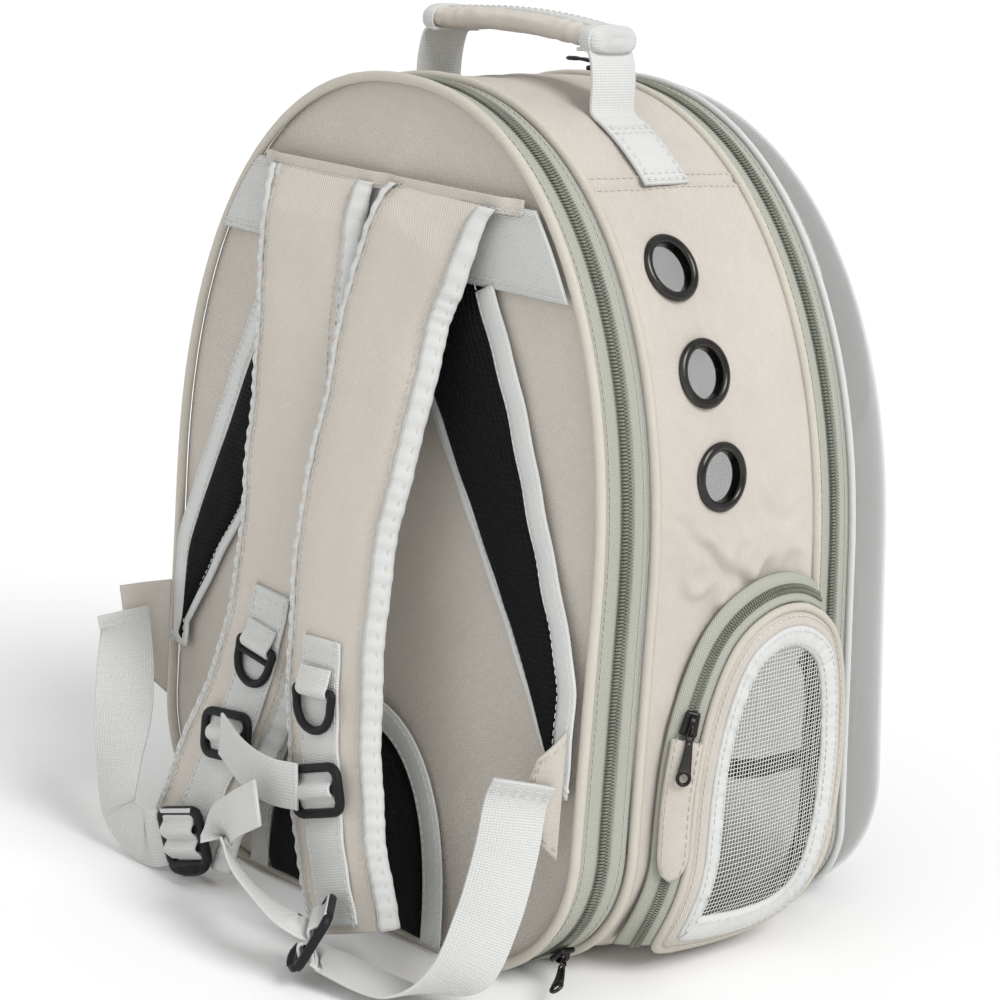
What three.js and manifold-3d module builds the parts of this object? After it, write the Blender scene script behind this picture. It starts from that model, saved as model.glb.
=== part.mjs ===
// Expandable pet carrier backpack: an arched soft case with a clear bubble front, standing upright.
// Millimetres. +Z is up, +Y is the side that the wearer's back touches, -Y is the bubble.
// The origin is the middle of the flat base. Left and right are the wearer's: left is -X.
import * as THREE from "three";
import Module from "manifold-3d";
import { mergeVertices } from "three/addons/utils/BufferGeometryUtils.js";

const wasm = await Module();
wasm.setup();

// Case outline, seen from behind
const HEIGHT = 430;
const HALF_WIDTH = 155;
const SHOULDER_Z = 200;
const ARCH_POWER = 2.2;
const BACK_CORNER = 78;
const FRONT_CORNER = 52;
const SIDE_SWELL = 7;

// Depth of the case at half its height, from the back seam to the bubble
const PIPING = 5.2;
const ZIP_BAND = 28.5;
const GUSSET = 116;
const EDGE_PIPING = 4;
const EDGE_INSET = 0.4;
const BUBBLE_DEPTH = 86;
const BUBBLE_POWER = 2.5;
const BUBBLE_TURN = 0.94;
const FRONT_LEAN = 0.24;

// Walls and clearances
const GAP = 0.3;
const GUSSET_WALL = 2.5;
const CUT_REACH = 30;
const TAPE_WALL = 1.6;
const TAPE_RECESS = 1.2;
const COIL_WIDTH = 10;
const COIL_RISE = 2.1;
const PANEL_THICK = 6;
const BUBBLE_WALL = 1.8;
const CLOTH = 1.6;

// Side eyelets
const EYELET_OUTER = 17;
const EYELET_BORE = 12.2;
const EYELET_BARREL = 13;
const EYELET_RIM = 2.6;
const EYELET_SEAT = 2.4;

// Window door on each side
const DOOR_WIDTH = 123;
const DOOR_HEIGHT = 176;
const DOOR_REAR = 59;
const DOOR_BOTTOM = 16;
const DOOR_PROUD = 9;
const DOOR_THICK = 5;
const DOOR_PIPING = 4.4;
const DOOR_ZIP = 13;
const DOOR_ZIP_SEAT = 1.8;
const DOOR_COIL = 5;
const DOOR_COIL_RISE = 1.8;
const BINDING_WIDTH = 12;
const WINDOW_INSET = 15;

// Back panel dressing
const YOKE_TOP = 380;
const YOKE_BOTTOM = 340;
const PAD_THICK = 5;
const ARCH_PAD_TOP = 122;
const ARCH_PAD_HALF = 74;
const ARCH_BINDING = 14;

// Straps and webbing
const STRAP_WIDTH = 64;
const STRAP_THICK = 9;
const STRAP_BINDING = 8;
const BINDING_WALL = 1.1;
const STRAP_STANDOFF = 42;
const WEBBING = 27;
const LOWER_WEBBING = 31;
const STERNUM_WEBBING = 24;
const SEAT_RUN = 7;
const LOCK_RUN = 12;

// Buckles
const D_RING_WIDTH = 31;
const D_RING_HEIGHT = 25;
const D_RING_ROD = 4.4;
const SLIDER_WIDTH = 38;
const SLIDER_HEIGHT = 27;
const SLIDER_THICK = 3.4;
const LOCK_WIDTH = 36;
const LOCK_HEIGHT = 34;
const LOCK_THICK = 4.6;
const LOCK_RAIL = 4.6;
const LOCK_BAR = 5;
const SLIDER_RAIL = 4;
const SLIDER_BAR = 4;
const BUCKLE_CORNER = 2.7;

// Carrying handle
const HANDLE_TOP = 464;
const HANDLE_HALF = 62;
const HANDLE_WIDTH = 31;
const GRIP_THICK = 12;
const GRIP_HALF = 60;
const GRIP_SAG = 3.6;
const HANDLE_DEPTH = 86;
const HANDLE_PATCH = 40;

// Zip sliders
const ZIP_BODY_LENGTH = 13;
const ZIP_BODY_WIDTH = 9;
const ZIP_BODY_THICK = 4.4;
const BAR_RISE = 3.5;
const BAR_THICK = 2;
const SLIDER_SEAT = 0.7;
const PULL_LENGTH = 29;
const PULL_WIDTH = 7.4;
const PULL_THICK = 1.8;

// Facets
const PIPING_SIDES = 5;
const EDGE_SIDES = 4;
const BOTTOM_STEPS = 3;
const CORNER_STEPS = 4;
const SIDE_STEPS = 3;
const ARCH_STEPS = 9;
const EYELET_SIDES = 12;
const BUBBLE_STEPS = 6;
const DOOR_STEPS = 22;
const STRAP_STEPS = 14;

// Places in the depth, worked out from the sizes above
const BAND_START = PIPING + GAP;
const REAR_SEAM = BAND_START + ZIP_BAND + GAP;
const GUSSET_START = REAR_SEAM + PIPING + GAP;
const GUSSET_END = GUSSET_START + GUSSET;
const FRONT_SEAM = GUSSET_END + GAP;
const FRONT_BAND = FRONT_SEAM + PIPING + GAP;
const EDGE_START = FRONT_BAND + ZIP_BAND + GAP;
const BUBBLE_START = EDGE_START + (EDGE_PIPING / 2) * (1 + Math.cos(Math.PI / EDGE_SIDES)) + GAP;
const BACK_Y = (BUBBLE_START * (1 + FRONT_LEAN / 2)) / 2;
const GUSSET_STATIONS = [0, 0.3, 0.7, 1].map((s) => GUSSET_START + s * GUSSET);

// Colours
const cloth = (color, roughness = 0.9) => new THREE.MeshStandardMaterial({ color, roughness, metalness: 0 });
const GREIGE = 0xd3cbc1;
const PIPING_COLOUR = 0xcfc8bc;
const SAGE = 0xaeb3a5;
const COIL_COLOUR = 0x6c6e64;
const WHITE_TAPE = 0xe2e3e1;
const GREY_WEBBING = 0xcfd0cd;
const BLACK_MESH = 0x111112;
const BLACK_PLASTIC = 0x2a2a2c;
const GUNMETAL = 0x4b4640;

const part = new THREE.Group();

// How much deeper the case is at a height than at half its height: the front leans back.
function lean(z) {
  return 1 + FRONT_LEAN * (0.5 - z / HEIGHT);
}

// A point given across the case, at a nominal depth behind the back seam, and its height.
function place(x, depth, z) {
  return new THREE.Vector3(x, BACK_Y - depth * lean(z), z);
}

// A point outside the back panel: a distance away from it.
function behind(x, away, z) {
  return new THREE.Vector3(x, BACK_Y + away, z);
}

function swell(depth) {
  return SIDE_SWELL * Math.sin((Math.PI * Math.min(depth, BUBBLE_START)) / BUBBLE_START);
}

// The case's outline at a nominal depth, as one loop of points with their outward normals.
function rawOutline(depth) {
  const half = HALF_WIDTH + swell(depth);
  const share = Math.min(Math.max(depth / BUBBLE_START, 0), 1);
  const corner = BACK_CORNER + (FRONT_CORNER - BACK_CORNER) * share;
  const right = [];
  for (let i = 0; i < BOTTOM_STEPS; i++) {
    right.push([((half - corner) * i) / BOTTOM_STEPS, 0]);
  }
  for (let i = 0; i < CORNER_STEPS; i++) {
    const a = ((Math.PI / 2) * i) / CORNER_STEPS;
    right.push([half - corner + corner * Math.sin(a), corner - corner * Math.cos(a)]);
  }
  for (let i = 0; i < SIDE_STEPS; i++) {
    right.push([half, corner + ((SHOULDER_Z - corner) * i) / SIDE_STEPS]);
  }
  for (let i = 0; i <= ARCH_STEPS; i++) {
    const a = ((Math.PI / 2) * i) / ARCH_STEPS;
    const x = half * Math.pow(Math.max(Math.cos(a), 0), 2 / ARCH_POWER);
    const z = SHOULDER_Z + (HEIGHT - SHOULDER_Z) * Math.pow(Math.sin(a), 2 / ARCH_POWER);
    right.push([x, z]);
  }
  const left = right.slice(1, -1).reverse().map(([x, z]) => [-x, z]);
  return [...right, ...left];
}

function inset(loop, distance) {
  const n = loop.length;
  return loop.map(([x, z], i) => {
    const [ax, az] = loop[(i + n - 1) % n];
    const [bx, bz] = loop[(i + 1) % n];
    const length = Math.hypot(bx - ax, bz - az);
    const nx = (bz - az) / length;
    const nz = -(bx - ax) / length;
    return [x - nx * distance, Math.max(z - nz * distance, 0)];
  });
}

function outline(depth, distance = 0) {
  return inset(rawOutline(depth), distance);
}

// Turns a grid of points into one closed geometry. Each row is a closed loop of points. The rows
// close on themselves, or the first and last are capped.
function skin(rows, closed) {
  const n = rows[0].length;
  const positions = rows.flat().flatMap((p) => [p.x, p.y, p.z]);
  const faces = [];
  const last = closed ? rows.length : rows.length - 1;
  for (let i = 0; i < last; i++) {
    const a = i * n;
    const b = ((i + 1) % rows.length) * n;
    for (let j = 0; j < n; j++) {
      const k = (j + 1) % n;
      faces.push([a + j, b + j, b + k], [a + j, b + k, a + k]);
    }
  }
  if (!closed) {
    capFaces(rows[0]).forEach(([p, q, r]) => faces.push([p, q, r]));
    const end = (rows.length - 1) * n;
    capFaces(rows[rows.length - 1]).forEach(([p, q, r]) => faces.push([end + r, end + q, end + p]));
  }
  return facingOut(positions, faces);
}

// The triangles that close one loop of points, in the loop's own order.
function capFaces(loop) {
  const normal = new THREE.Vector3();
  loop.forEach((p, i) => {
    const q = loop[(i + 1) % loop.length];
    normal.x += (p.y - q.y) * (p.z + q.z);
    normal.y += (p.z - q.z) * (p.x + q.x);
    normal.z += (p.x - q.x) * (p.y + q.y);
  });
  normal.normalize();
  const helper = Math.abs(normal.z) < 0.9 ? new THREE.Vector3(0, 0, 1) : new THREE.Vector3(1, 0, 0);
  const u = new THREE.Vector3().crossVectors(helper, normal).normalize();
  const v = new THREE.Vector3().crossVectors(normal, u);
  const flat = loop.map((p) => new THREE.Vector2(p.dot(u), p.dot(v)));
  return THREE.ShapeUtils.triangulateShape(flat, []);
}

// A geometry from positions and faces, turned so that its faces point out.
function facingOut(positions, faces) {
  const at = (i) => new THREE.Vector3(positions[3 * i], positions[3 * i + 1], positions[3 * i + 2]);
  const cross = new THREE.Vector3();
  let volume = 0;
  faces.forEach(([a, b, c]) => {
    volume += at(a).dot(cross.crossVectors(at(b), at(c)));
  });
  const index = faces.flatMap(([a, b, c]) => (volume < 0 ? [a, c, b] : [a, b, c]));
  const geometry = new THREE.BufferGeometry();
  geometry.setAttribute("position", new THREE.BufferAttribute(new Float32Array(positions), 3));
  geometry.setIndex(index);
  return geometry;
}

function add(name, geometry, material) {
  geometry.computeVertexNormals();
  const mesh = new THREE.Mesh(geometry, material);
  mesh.name = name;
  part.add(mesh);
  return mesh;
}

function toSolid(geometry) {
  const bare = new THREE.BufferGeometry();
  bare.setAttribute("position", geometry.getAttribute("position").clone());
  if (geometry.index) bare.setIndex(geometry.index.clone());
  const merged = mergeVertices(bare, 1e-3);
  const vertProperties = new Float32Array(merged.attributes.position.array);
  const triVerts = new Uint32Array(merged.index.array);
  return new wasm.Manifold(new wasm.Mesh({ numProp: 3, vertProperties, triVerts }));
}

function toGeometry(solid) {
  const mesh = solid.getMesh();
  const geometry = new THREE.BufferGeometry();
  geometry.setAttribute("position", new THREE.BufferAttribute(new Float32Array(mesh.vertProperties), 3));
  geometry.setIndex([...mesh.triVerts]);
  return geometry;
}

// A ring that runs round the case: each profile point is a nominal depth and a distance inwards.
function ringRows(profile) {
  const loops = profile.map(([depth, distance]) => outline(depth, distance));
  return loops[0].map((_, i) => profile.map(([depth], j) => place(loops[j][i][0], depth, loops[j][i][1])));
}

// A round cord's profile in a seam, between two depths.
function cordProfile(start, size, sides) {
  const profile = [];
  for (let i = 0; i < sides; i++) {
    const a = (2 * Math.PI * (i + 0.5)) / sides;
    profile.push([start + size / 2 + (size / 2) * Math.cos(a), (size / 2) * Math.sin(a)]);
  }
  return profile;
}

// A box profile between two depths and two distances inwards.
function boxProfile(start, end, outer, inner) {
  return [[start, outer], [end, outer], [end, inner], [start, inner]];
}

// Half width of the gusset's faceted outside at a nominal depth and a height.
function shellHalf(depth, z) {
  const loop = rawOutline(depth);
  const steps = BOTTOM_STEPS + CORNER_STEPS + SIDE_STEPS + ARCH_STEPS;
  for (let i = BOTTOM_STEPS; i < steps; i++) {
    const [ax, az] = loop[i];
    const [bx, bz] = loop[i + 1];
    if (z <= bz || i === steps - 1) return ax + ((bx - ax) * (z - az)) / (bz - az);
  }
  return 0;
}

// A point over the gusset's side: real depth from the back seam, height, and height off the wall.
function onSide(side, depth, z, off) {
  const step = 4;
  const nominal = depth / lean(z);
  const stations = GUSSET_STATIONS;
  let k = 0;
  while (k < stations.length - 2 && nominal > stations[k + 1]) k++;
  const t = (nominal - stations[k]) / (stations[k + 1] - stations[k]);
  const halfAt = (h) => shellHalf(stations[k], h) * (1 - t) + shellHalf(stations[k + 1], h) * t;
  const low = halfAt(Math.max(z - step, 0.5));
  const high = halfAt(z + step);
  const slope = (high - low) / (2 * step);
  const size = Math.hypot(1, slope);
  const x = halfAt(z) + off / size;
  return new THREE.Vector3(side * x, BACK_Y - depth, z - (off * slope) / size);
}

// A strip swept along rows of points. Each row has x, y, z and the direction across the strip.
// The profile holds points across and out of the strip.
function stripGeometry(rows, profileAt, count) {
  const points = new THREE.CatmullRomCurve3(rows.map((r) => new THREE.Vector3(r.x, r.y, r.z)));
  const acrosses = new THREE.CatmullRomCurve3(rows.map((r) => new THREE.Vector3(r.ax, r.ay, r.az)));
  const loops = [];
  for (let i = 0; i <= count; i++) {
    const t = i / count;
    const p = points.getPoint(t);
    const tangent = points.getTangent(t);
    const out = new THREE.Vector3().crossVectors(acrosses.getPoint(t), tangent).normalize();
    const across = new THREE.Vector3().crossVectors(tangent, out).normalize();
    loops.push(profileAt(t).map(([a, b]) => p.clone().addScaledVector(across, a).addScaledVector(out, b)));
  }
  return skin(loops, false);
}

function flatProfile(width, thick) {
  return () => [[-width / 2, 0], [width / 2, 0], [width / 2, thick], [-width / 2, thick]];
}

// Case rings and seams
function pipingRing(name, start, size, sides) {
  add(name, skin(ringRows(cordProfile(start, size, sides)), true), cloth(PIPING_COLOUR));
}
pipingRing("back_panel_piping", 0, PIPING, PIPING_SIDES);
pipingRing("rear_seam_piping", REAR_SEAM, PIPING, PIPING_SIDES);
pipingRing("front_seam_piping", FRONT_SEAM, PIPING, PIPING_SIDES);
pipingRing("bubble_edge_piping", EDGE_START, EDGE_PIPING, EDGE_SIDES);

function zipBand(name, start) {
  const inner = TAPE_RECESS + TAPE_WALL;
  const tape = boxProfile(start, start + ZIP_BAND, TAPE_RECESS, inner);
  const middle = start + ZIP_BAND / 2;
  const bottom = TAPE_RECESS - GAP;
  const coil = boxProfile(middle - COIL_WIDTH / 2, middle + COIL_WIDTH / 2, bottom - COIL_RISE, bottom);
  add(name + "_tape", skin(ringRows(tape), true), cloth(SAGE));
  add(name + "_coil", skin(ringRows(coil), true), cloth(COIL_COLOUR, 0.6));
}
zipBand("back_zip", BAND_START);
zipBand("front_zip", FRONT_BAND);

// Back panel, a flat plate inside its piping
const PANEL_INSET = Math.max(PIPING / 2, TAPE_RECESS + TAPE_WALL) + GAP;
const PANEL_FACE = 0.6;
{
  const edge = outline(0, PANEL_INSET);
  const rows = [PANEL_FACE, PANEL_FACE + PANEL_THICK].map((d) => edge.map(([x, z]) => behind(x, -d, z)));
  add("back_panel", skin(rows, false), cloth(GREIGE));
}

// Bubble, a clear shell open to the case
{
  const centreZ = HEIGHT / 2;
  const layer = (wall) => {
    const base = outline(BUBBLE_START, EDGE_INSET + wall);
    const rings = [];
    for (let i = 0; i <= BUBBLE_STEPS; i++) {
      const a = ((Math.PI / 2) * BUBBLE_TURN * i) / BUBBLE_STEPS;
      const share = Math.pow(Math.cos(a), 2 / BUBBLE_POWER);
      const rise = (BUBBLE_DEPTH - wall) * Math.pow(Math.sin(a), 2 / BUBBLE_POWER);
      rings.push(base.map(([x, z]) => place(x * share, BUBBLE_START + rise, centreZ + (z - centreZ) * share)));
    }
    return rings;
  };
  const rows = [...layer(BUBBLE_WALL).reverse(), ...layer(0)];
  const clear = new THREE.MeshStandardMaterial({ color: 0xd8dad8, roughness: 0.08, transparent: true, opacity: 0.35 });
  add("bubble", skin(rows, false), clear);
}

// Eyelet places on each side, top to bottom: shares of the gusset's depth and of the height
const EYELETS = [
  { along: 0.274, up: 0.823 },
  { along: 0.32, up: 0.712 },
  { along: 0.363, up: 0.598 },
].map((e) => ({ depth: (GUSSET_START + e.along * GUSSET) * lean(e.up * HEIGHT), z: e.up * HEIGHT }));

// The place and turn of a piece that sits on the gusset's side.
function sideFrame(side, depth, z) {
  const p = onSide(side, depth, z, 0);
  const up = onSide(side, depth, z + 8, 0).sub(onSide(side, depth, z - 8, 0)).normalize();
  const along = onSide(side, depth + 8, z, 0).sub(onSide(side, depth - 8, z, 0)).normalize();
  const out = new THREE.Vector3().crossVectors(along, up).normalize();
  if (out.x * side < 0) out.negate();
  const turn = new THREE.Matrix4().makeBasis(new THREE.Vector3().crossVectors(out, up), out, up);
  return turn.setPosition(p);
}

// Door outline: shares of the door's width from the rear, and of its height
const DOOR_TABLE = [
  { across: 0.05, up: 0.06 },
  { across: 0.03, up: 0.32 },
  { across: 0.05, up: 0.64 },
  { across: 0.18, up: 0.89 },
  { across: 0.40, up: 0.99 },
  { across: 0.66, up: 0.98 },
  { across: 0.88, up: 0.86 },
  { across: 0.98, up: 0.62 },
  { across: 0.99, up: 0.34 },
  { across: 0.90, up: 0.12 },
  { across: 0.70, up: 0.01 },
  { across: 0.36, up: 0.0 },
];
const doorCurve = new THREE.CatmullRomCurve3(
  DOOR_TABLE.map((r) => new THREE.Vector3(DOOR_REAR + r.across * DOOR_WIDTH, DOOR_BOTTOM + r.up * DOOR_HEIGHT, 0)),
  true,
);

// The door's outline as depth and height, moved inwards by a distance.
function doorLoop(distance, count) {
  const loop = doorCurve.getSpacedPoints(count).slice(0, count).map((p) => [p.x, p.y]);
  return loop.map(([d, z], i) => {
    const [ad, az] = loop[(i + count - 1) % count];
    const [bd, bz] = loop[(i + 1) % count];
    const length = Math.hypot(bd - ad, bz - az);
    return [d + ((bz - az) / length) * distance, z - ((bd - ad) / length) * distance];
  });
}

const DOOR_UNDER = PIPING / 2 + 3 * GAP;
const OPENING_INSET = WINDOW_INSET + BINDING_WIDTH - 2;

// A ring or plate on the door: each profile point is a distance inwards and a height off the wall.
function doorRows(side, profile) {
  const loops = profile.map(([distance]) => doorLoop(distance, DOOR_STEPS));
  return loops[0].map((_, i) => doorRow(side, profile, loops, i));
}

function doorRow(side, profile, loops, i) {
  return profile.map(([, off], j) => onSide(side, loops[j][i][0], Math.max(loops[j][i][1], 1), off));
}

// Gusset with its eyelet holes and window openings
function gussetGeometry() {
  const outer = GUSSET_STATIONS.map((d) => [d, 0]);
  const inner = GUSSET_STATIONS.map((d) => [d, GUSSET_WALL]).reverse();
  let shell = toSolid(skin(ringRows([...outer, ...inner]), true));
  for (const side of [-1, 1]) {
    for (const { depth, z } of EYELETS) {
      const radius = (EYELET_BARREL + GAP) / Math.cos(Math.PI / EYELET_SIDES);
      const bore = new THREE.CylinderGeometry(radius, radius, CUT_REACH, EYELET_SIDES);
      bore.applyMatrix4(sideFrame(side, depth, z));
      shell = shell.subtract(toSolid(bore));
    }
    const reach = [-CUT_REACH, CUT_REACH].map((off) =>
      doorLoop(OPENING_INSET, DOOR_STEPS).map(([d, z]) => {
        const p = onSide(side, d, z, 0);
        p.x += side * off;
        return p;
      }),
    );
    shell = shell.subtract(toSolid(skin(reach, false)));
  }
  return toGeometry(shell);
}
add("gusset", gussetGeometry(), cloth(GREIGE));

// Eyelets: a rolled flange outside the cloth with a barrel through it
function eyeletGeometry() {
  const rise = EYELET_SEAT;
  const profile = [
    [EYELET_BORE, -GUSSET_WALL - 1],
    [EYELET_BARREL, -GUSSET_WALL - 1],
    [EYELET_BARREL, rise],
    [EYELET_OUTER, rise],
    [(EYELET_OUTER + EYELET_BORE) / 2, rise + EYELET_RIM],
    [EYELET_BORE, rise + EYELET_RIM / 2],
  ];
  const rows = [];
  for (let i = 0; i < EYELET_SIDES; i++) {
    const a = (2 * Math.PI * i) / EYELET_SIDES;
    rows.push(profile.map(([r, h]) => new THREE.Vector3(r * Math.cos(a), h, r * Math.sin(a))));
  }
  return skin(rows, true);
}

const metal = () => new THREE.MeshStandardMaterial({ color: GUNMETAL, roughness: 0.32, metalness: 0.9 });
const plastic = () => new THREE.MeshStandardMaterial({ color: BLACK_PLASTIC, roughness: 0.45, metalness: 0 });

// A zip slider's body and bar, its long side along z and its bar out along y
function sliderSolid() {
  const body = new THREE.BoxGeometry(ZIP_BODY_WIDTH, ZIP_BODY_THICK, ZIP_BODY_LENGTH);
  const bar = new THREE.BoxGeometry(BAR_THICK, 2 * BAR_RISE, ZIP_BODY_LENGTH * 0.7);
  bar.translate(0, ZIP_BODY_THICK / 2, 0);
  return toSolid(body).add(toSolid(bar));
}

// A pull with an eye at its far end, along y
function pullSolidGeometry() {
  const shape = new THREE.Shape();
  const half = PULL_WIDTH / 2;
  shape.moveTo(-half * 0.7, -2);
  shape.lineTo(half * 0.7, -2);
  shape.lineTo(half, PULL_LENGTH - half);
  shape.lineTo(half * 0.5, PULL_LENGTH);
  shape.lineTo(-half * 0.5, PULL_LENGTH);
  shape.lineTo(-half, PULL_LENGTH - half);
  const eye = new THREE.Path();
  eye.absellipse(0, PULL_LENGTH - half - 1.3, half * 0.5, half * 0.7, 0, 2 * Math.PI, true);
  shape.holes.push(eye);
  const geometry = new THREE.ExtrudeGeometry(shape, { depth: PULL_THICK, bevelEnabled: false, curveSegments: 4 });
  return geometry.translate(0, 0, -PULL_THICK / 2);
}

// A slider with its pull, set with its inner face at a place. The pull hangs from the bar along
// its own direction, and its flat side faces its own way.
function zipSlider(name, seat, along, out, pullDirection, pullFace) {
  const z = along.clone().normalize();
  const y = out.clone().addScaledVector(z, -out.dot(z)).normalize();
  const x = new THREE.Vector3().crossVectors(y, z);
  const origin = seat.clone().addScaledVector(y, ZIP_BODY_THICK / 2);
  const body = new THREE.Matrix4().makeBasis(x, y, z).setPosition(origin);
  const down = pullDirection.clone().normalize();
  const face = pullFace.clone().addScaledVector(down, -pullFace.dot(down)).normalize();
  const side = new THREE.Vector3().crossVectors(down, face);
  const start = origin.clone().addScaledVector(y, ZIP_BODY_THICK / 2 + PULL_THICK / 2 + 0.4);
  const hang = new THREE.Matrix4().makeBasis(side, down, face).setPosition(start);
  const solid = sliderSolid().transform(body.elements);
  const pull = toSolid(pullSolidGeometry().applyMatrix4(hang));
  add(name, toGeometry(solid.add(pull)), metal());
}

// Both sides of the case carry the same eyelets and window door
for (const side of [-1, 1]) {
  const hand = side < 0 ? "left" : "right";
  EYELETS.forEach(({ depth, z }, i) => {
    const eyelet = add("eyelet_" + hand + "_" + (i + 1), eyeletGeometry(), metal());
    eyelet.applyMatrix4(sideFrame(side, depth, z));
  });
  const top = DOOR_PROUD + DOOR_THICK;
  const rim = DOOR_PIPING + 2 * GAP;
  const frame = [[rim, DOOR_UNDER], [rim, top], [WINDOW_INSET, top + 2], [WINDOW_INSET, DOOR_UNDER]];
  add("door_frame_" + hand, skin(doorRows(side, frame), true), cloth(GREIGE));
  const half = DOOR_PIPING / 2;
  const piping = [[0, top - 3], [half, top + 1], [DOOR_PIPING, top - 3], [half, DOOR_PROUD]];
  add("door_piping_" + hand, skin(doorRows(side, piping), true), cloth(PIPING_COLOUR));
  const start = WINDOW_INSET + 2.5 * GAP;
  const end = start + BINDING_WIDTH;
  const binding = [[start, top - 2], [start, top + 2], [end, top], [end, top - 2]];
  add("window_binding_" + hand, skin(doorRows(side, binding), true), cloth(WHITE_TAPE));
  const meshEdge = doorLoop(end + GAP, DOOR_STEPS);
  const mesh = [top - 1.8, top - 0.6].map((off) => meshEdge.map(([d, z]) => onSide(side, d, z, off)));
  add("window_mesh_" + hand, skin(mesh, false), cloth(GREY_WEBBING));
}

// Door zip: a sloped tape from the wall up to the door's rim, its coil and a cover flap
function tapeOff(distance) {
  const base = DOOR_ZIP_SEAT + CLOTH;
  return base + ((distance + DOOR_ZIP) / (DOOR_ZIP - GAP)) * (DOOR_PROUD - 0.4);
}

function doorArc(side, profile, from, to) {
  const loops = profile.map(([distance]) => doorLoop(distance, DOOR_STEPS));
  const rows = [];
  for (let i = from; i <= to; i++) {
    rows.push(doorRow(side, profile, loops, i));
  }
  return skin(rows, false);
}

const DOOR_ZIP_END = 10;
const FLAP_LIFT = 2.8;
for (const side of [-1, 1]) {
  const hand = side < 0 ? "left" : "right";
  const near = -DOOR_ZIP / 2 - DOOR_COIL / 2;
  const far = -DOOR_ZIP / 2 + DOOR_COIL / 2;
  const tape = [
    [-DOOR_ZIP, DOOR_ZIP_SEAT],
    [-DOOR_ZIP, DOOR_ZIP_SEAT + CLOTH],
    [near, tapeOff(near)],
    [near, tapeOff(near) + DOOR_COIL_RISE],
    [far, tapeOff(far) + DOOR_COIL_RISE],
    [far, tapeOff(far)],
    [-GAP, tapeOff(-GAP)],
    [-GAP, tapeOff(-GAP) - CLOTH],
  ];
  add("door_zip_" + hand, doorArc(side, tape, 0, DOOR_ZIP_END), cloth(SAGE));
  const [outerEdge, innerEdge] = [-DOOR_ZIP, -1.5];
  const flap = [
    [outerEdge, tapeOff(outerEdge) + FLAP_LIFT],
    [outerEdge, tapeOff(outerEdge) + FLAP_LIFT + CLOTH],
    [innerEdge, tapeOff(innerEdge) + FLAP_LIFT + CLOTH],
    [innerEdge, tapeOff(innerEdge) + FLAP_LIFT],
  ];
  add("door_flap_" + hand, doorArc(side, flap, 1, 3), cloth(GREIGE));
}

// Half width of the back panel inside its piping, at a height
function panelHalf(z) {
  const loop = outline(0, PANEL_INSET);
  const steps = BOTTOM_STEPS + CORNER_STEPS + SIDE_STEPS + ARCH_STEPS;
  for (let i = BOTTOM_STEPS; i < steps; i++) {
    const [ax, az] = loop[i];
    const [bx, bz] = loop[i + 1];
    if (z <= bz) return ax + ((bx - ax) * (z - az)) / (bz - az);
  }
  return 0;
}

// A flat plate on the back panel: an outline of x and z, from one distance behind to another
function plate(name, points, from, to, material) {
  const rows = [from, to].map((away) => points.map(([x, z]) => behind(x, away, z)));
  add(name, skin(rows, false), material);
}

const PANEL_AWAY = -PANEL_FACE + GAP;
const yokeEdge = [YOKE_BOTTOM, (YOKE_BOTTOM + YOKE_TOP) / 2, YOKE_TOP].map((z) => [panelHalf(z) - 1, z]);
const mirrored = (points) => points.map(([x, z]) => [-x, z]).reverse();
plate("yoke_band", [...yokeEdge, ...mirrored(yokeEdge)], PANEL_AWAY, PANEL_AWAY + CLOTH, cloth(WHITE_TAPE));

// Mesh pads: a leg from the yoke to each side, and an arch at the bottom.
// Shares of half the width and of the height.
const LEG_INNER = [
  { x: 0.03, z: 0.77 },
  { x: 0.26, z: 0.645 },
  { x: 0.48, z: 0.52 },
  { x: 0.68, z: 0.41 },
  { x: 0.84, z: 0.31 },
].map((r) => [r.x * HALF_WIDTH, r.z * HEIGHT]);
const LEG_OUTER = [
  { x: 0.5, z: 0.788 },
  { x: 0.74, z: 0.6 },
].map((r) => [r.x * HALF_WIDTH, r.z * HEIGHT]);
const LEG_SIDE = [0.4, 0.25].map((share) => share * HEIGHT);
for (const side of [-1, 1]) {
  const hand = side < 0 ? "left" : "right";
  const sides = LEG_SIDE.map((z) => [panelHalf(z) - 1, z]);
  const edge = [...LEG_OUTER, ...sides, ...[...LEG_INNER].reverse()];
  const points = edge.map(([x, z]) => [side * x, Math.min(z, YOKE_BOTTOM - GAP)]);
  plate("mesh_pad_" + hand, points, PANEL_AWAY, PANEL_AWAY + PAD_THICK, cloth(BLACK_MESH));
}

function archLine(half, top) {
  const points = [];
  const low = PANEL_INSET + 1;
  for (let i = 0; i <= 10; i++) {
    const a = (Math.PI * i) / 10;
    const c = Math.cos(a);
    points.push([half * Math.sign(c) * Math.pow(Math.abs(c), 0.8), low + (top - low) * Math.pow(Math.sin(a), 0.8)]);
  }
  return points;
}
{
  const face = PANEL_AWAY + PAD_THICK;
  const outer = archLine(ARCH_PAD_HALF, ARCH_PAD_TOP);
  const inner = archLine(ARCH_PAD_HALF - ARCH_BINDING, ARCH_PAD_TOP - ARCH_BINDING);
  const pad = archLine(ARCH_PAD_HALF - ARCH_BINDING - 2 * GAP, ARCH_PAD_TOP - ARCH_BINDING - 2 * GAP);
  plate("arch_pad_binding", [...outer, ...inner.reverse()], PANEL_AWAY, face + 0.6, cloth(GREY_WEBBING));
  plate("arch_pad", pad, PANEL_AWAY, face, cloth(BLACK_MESH));
}

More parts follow.
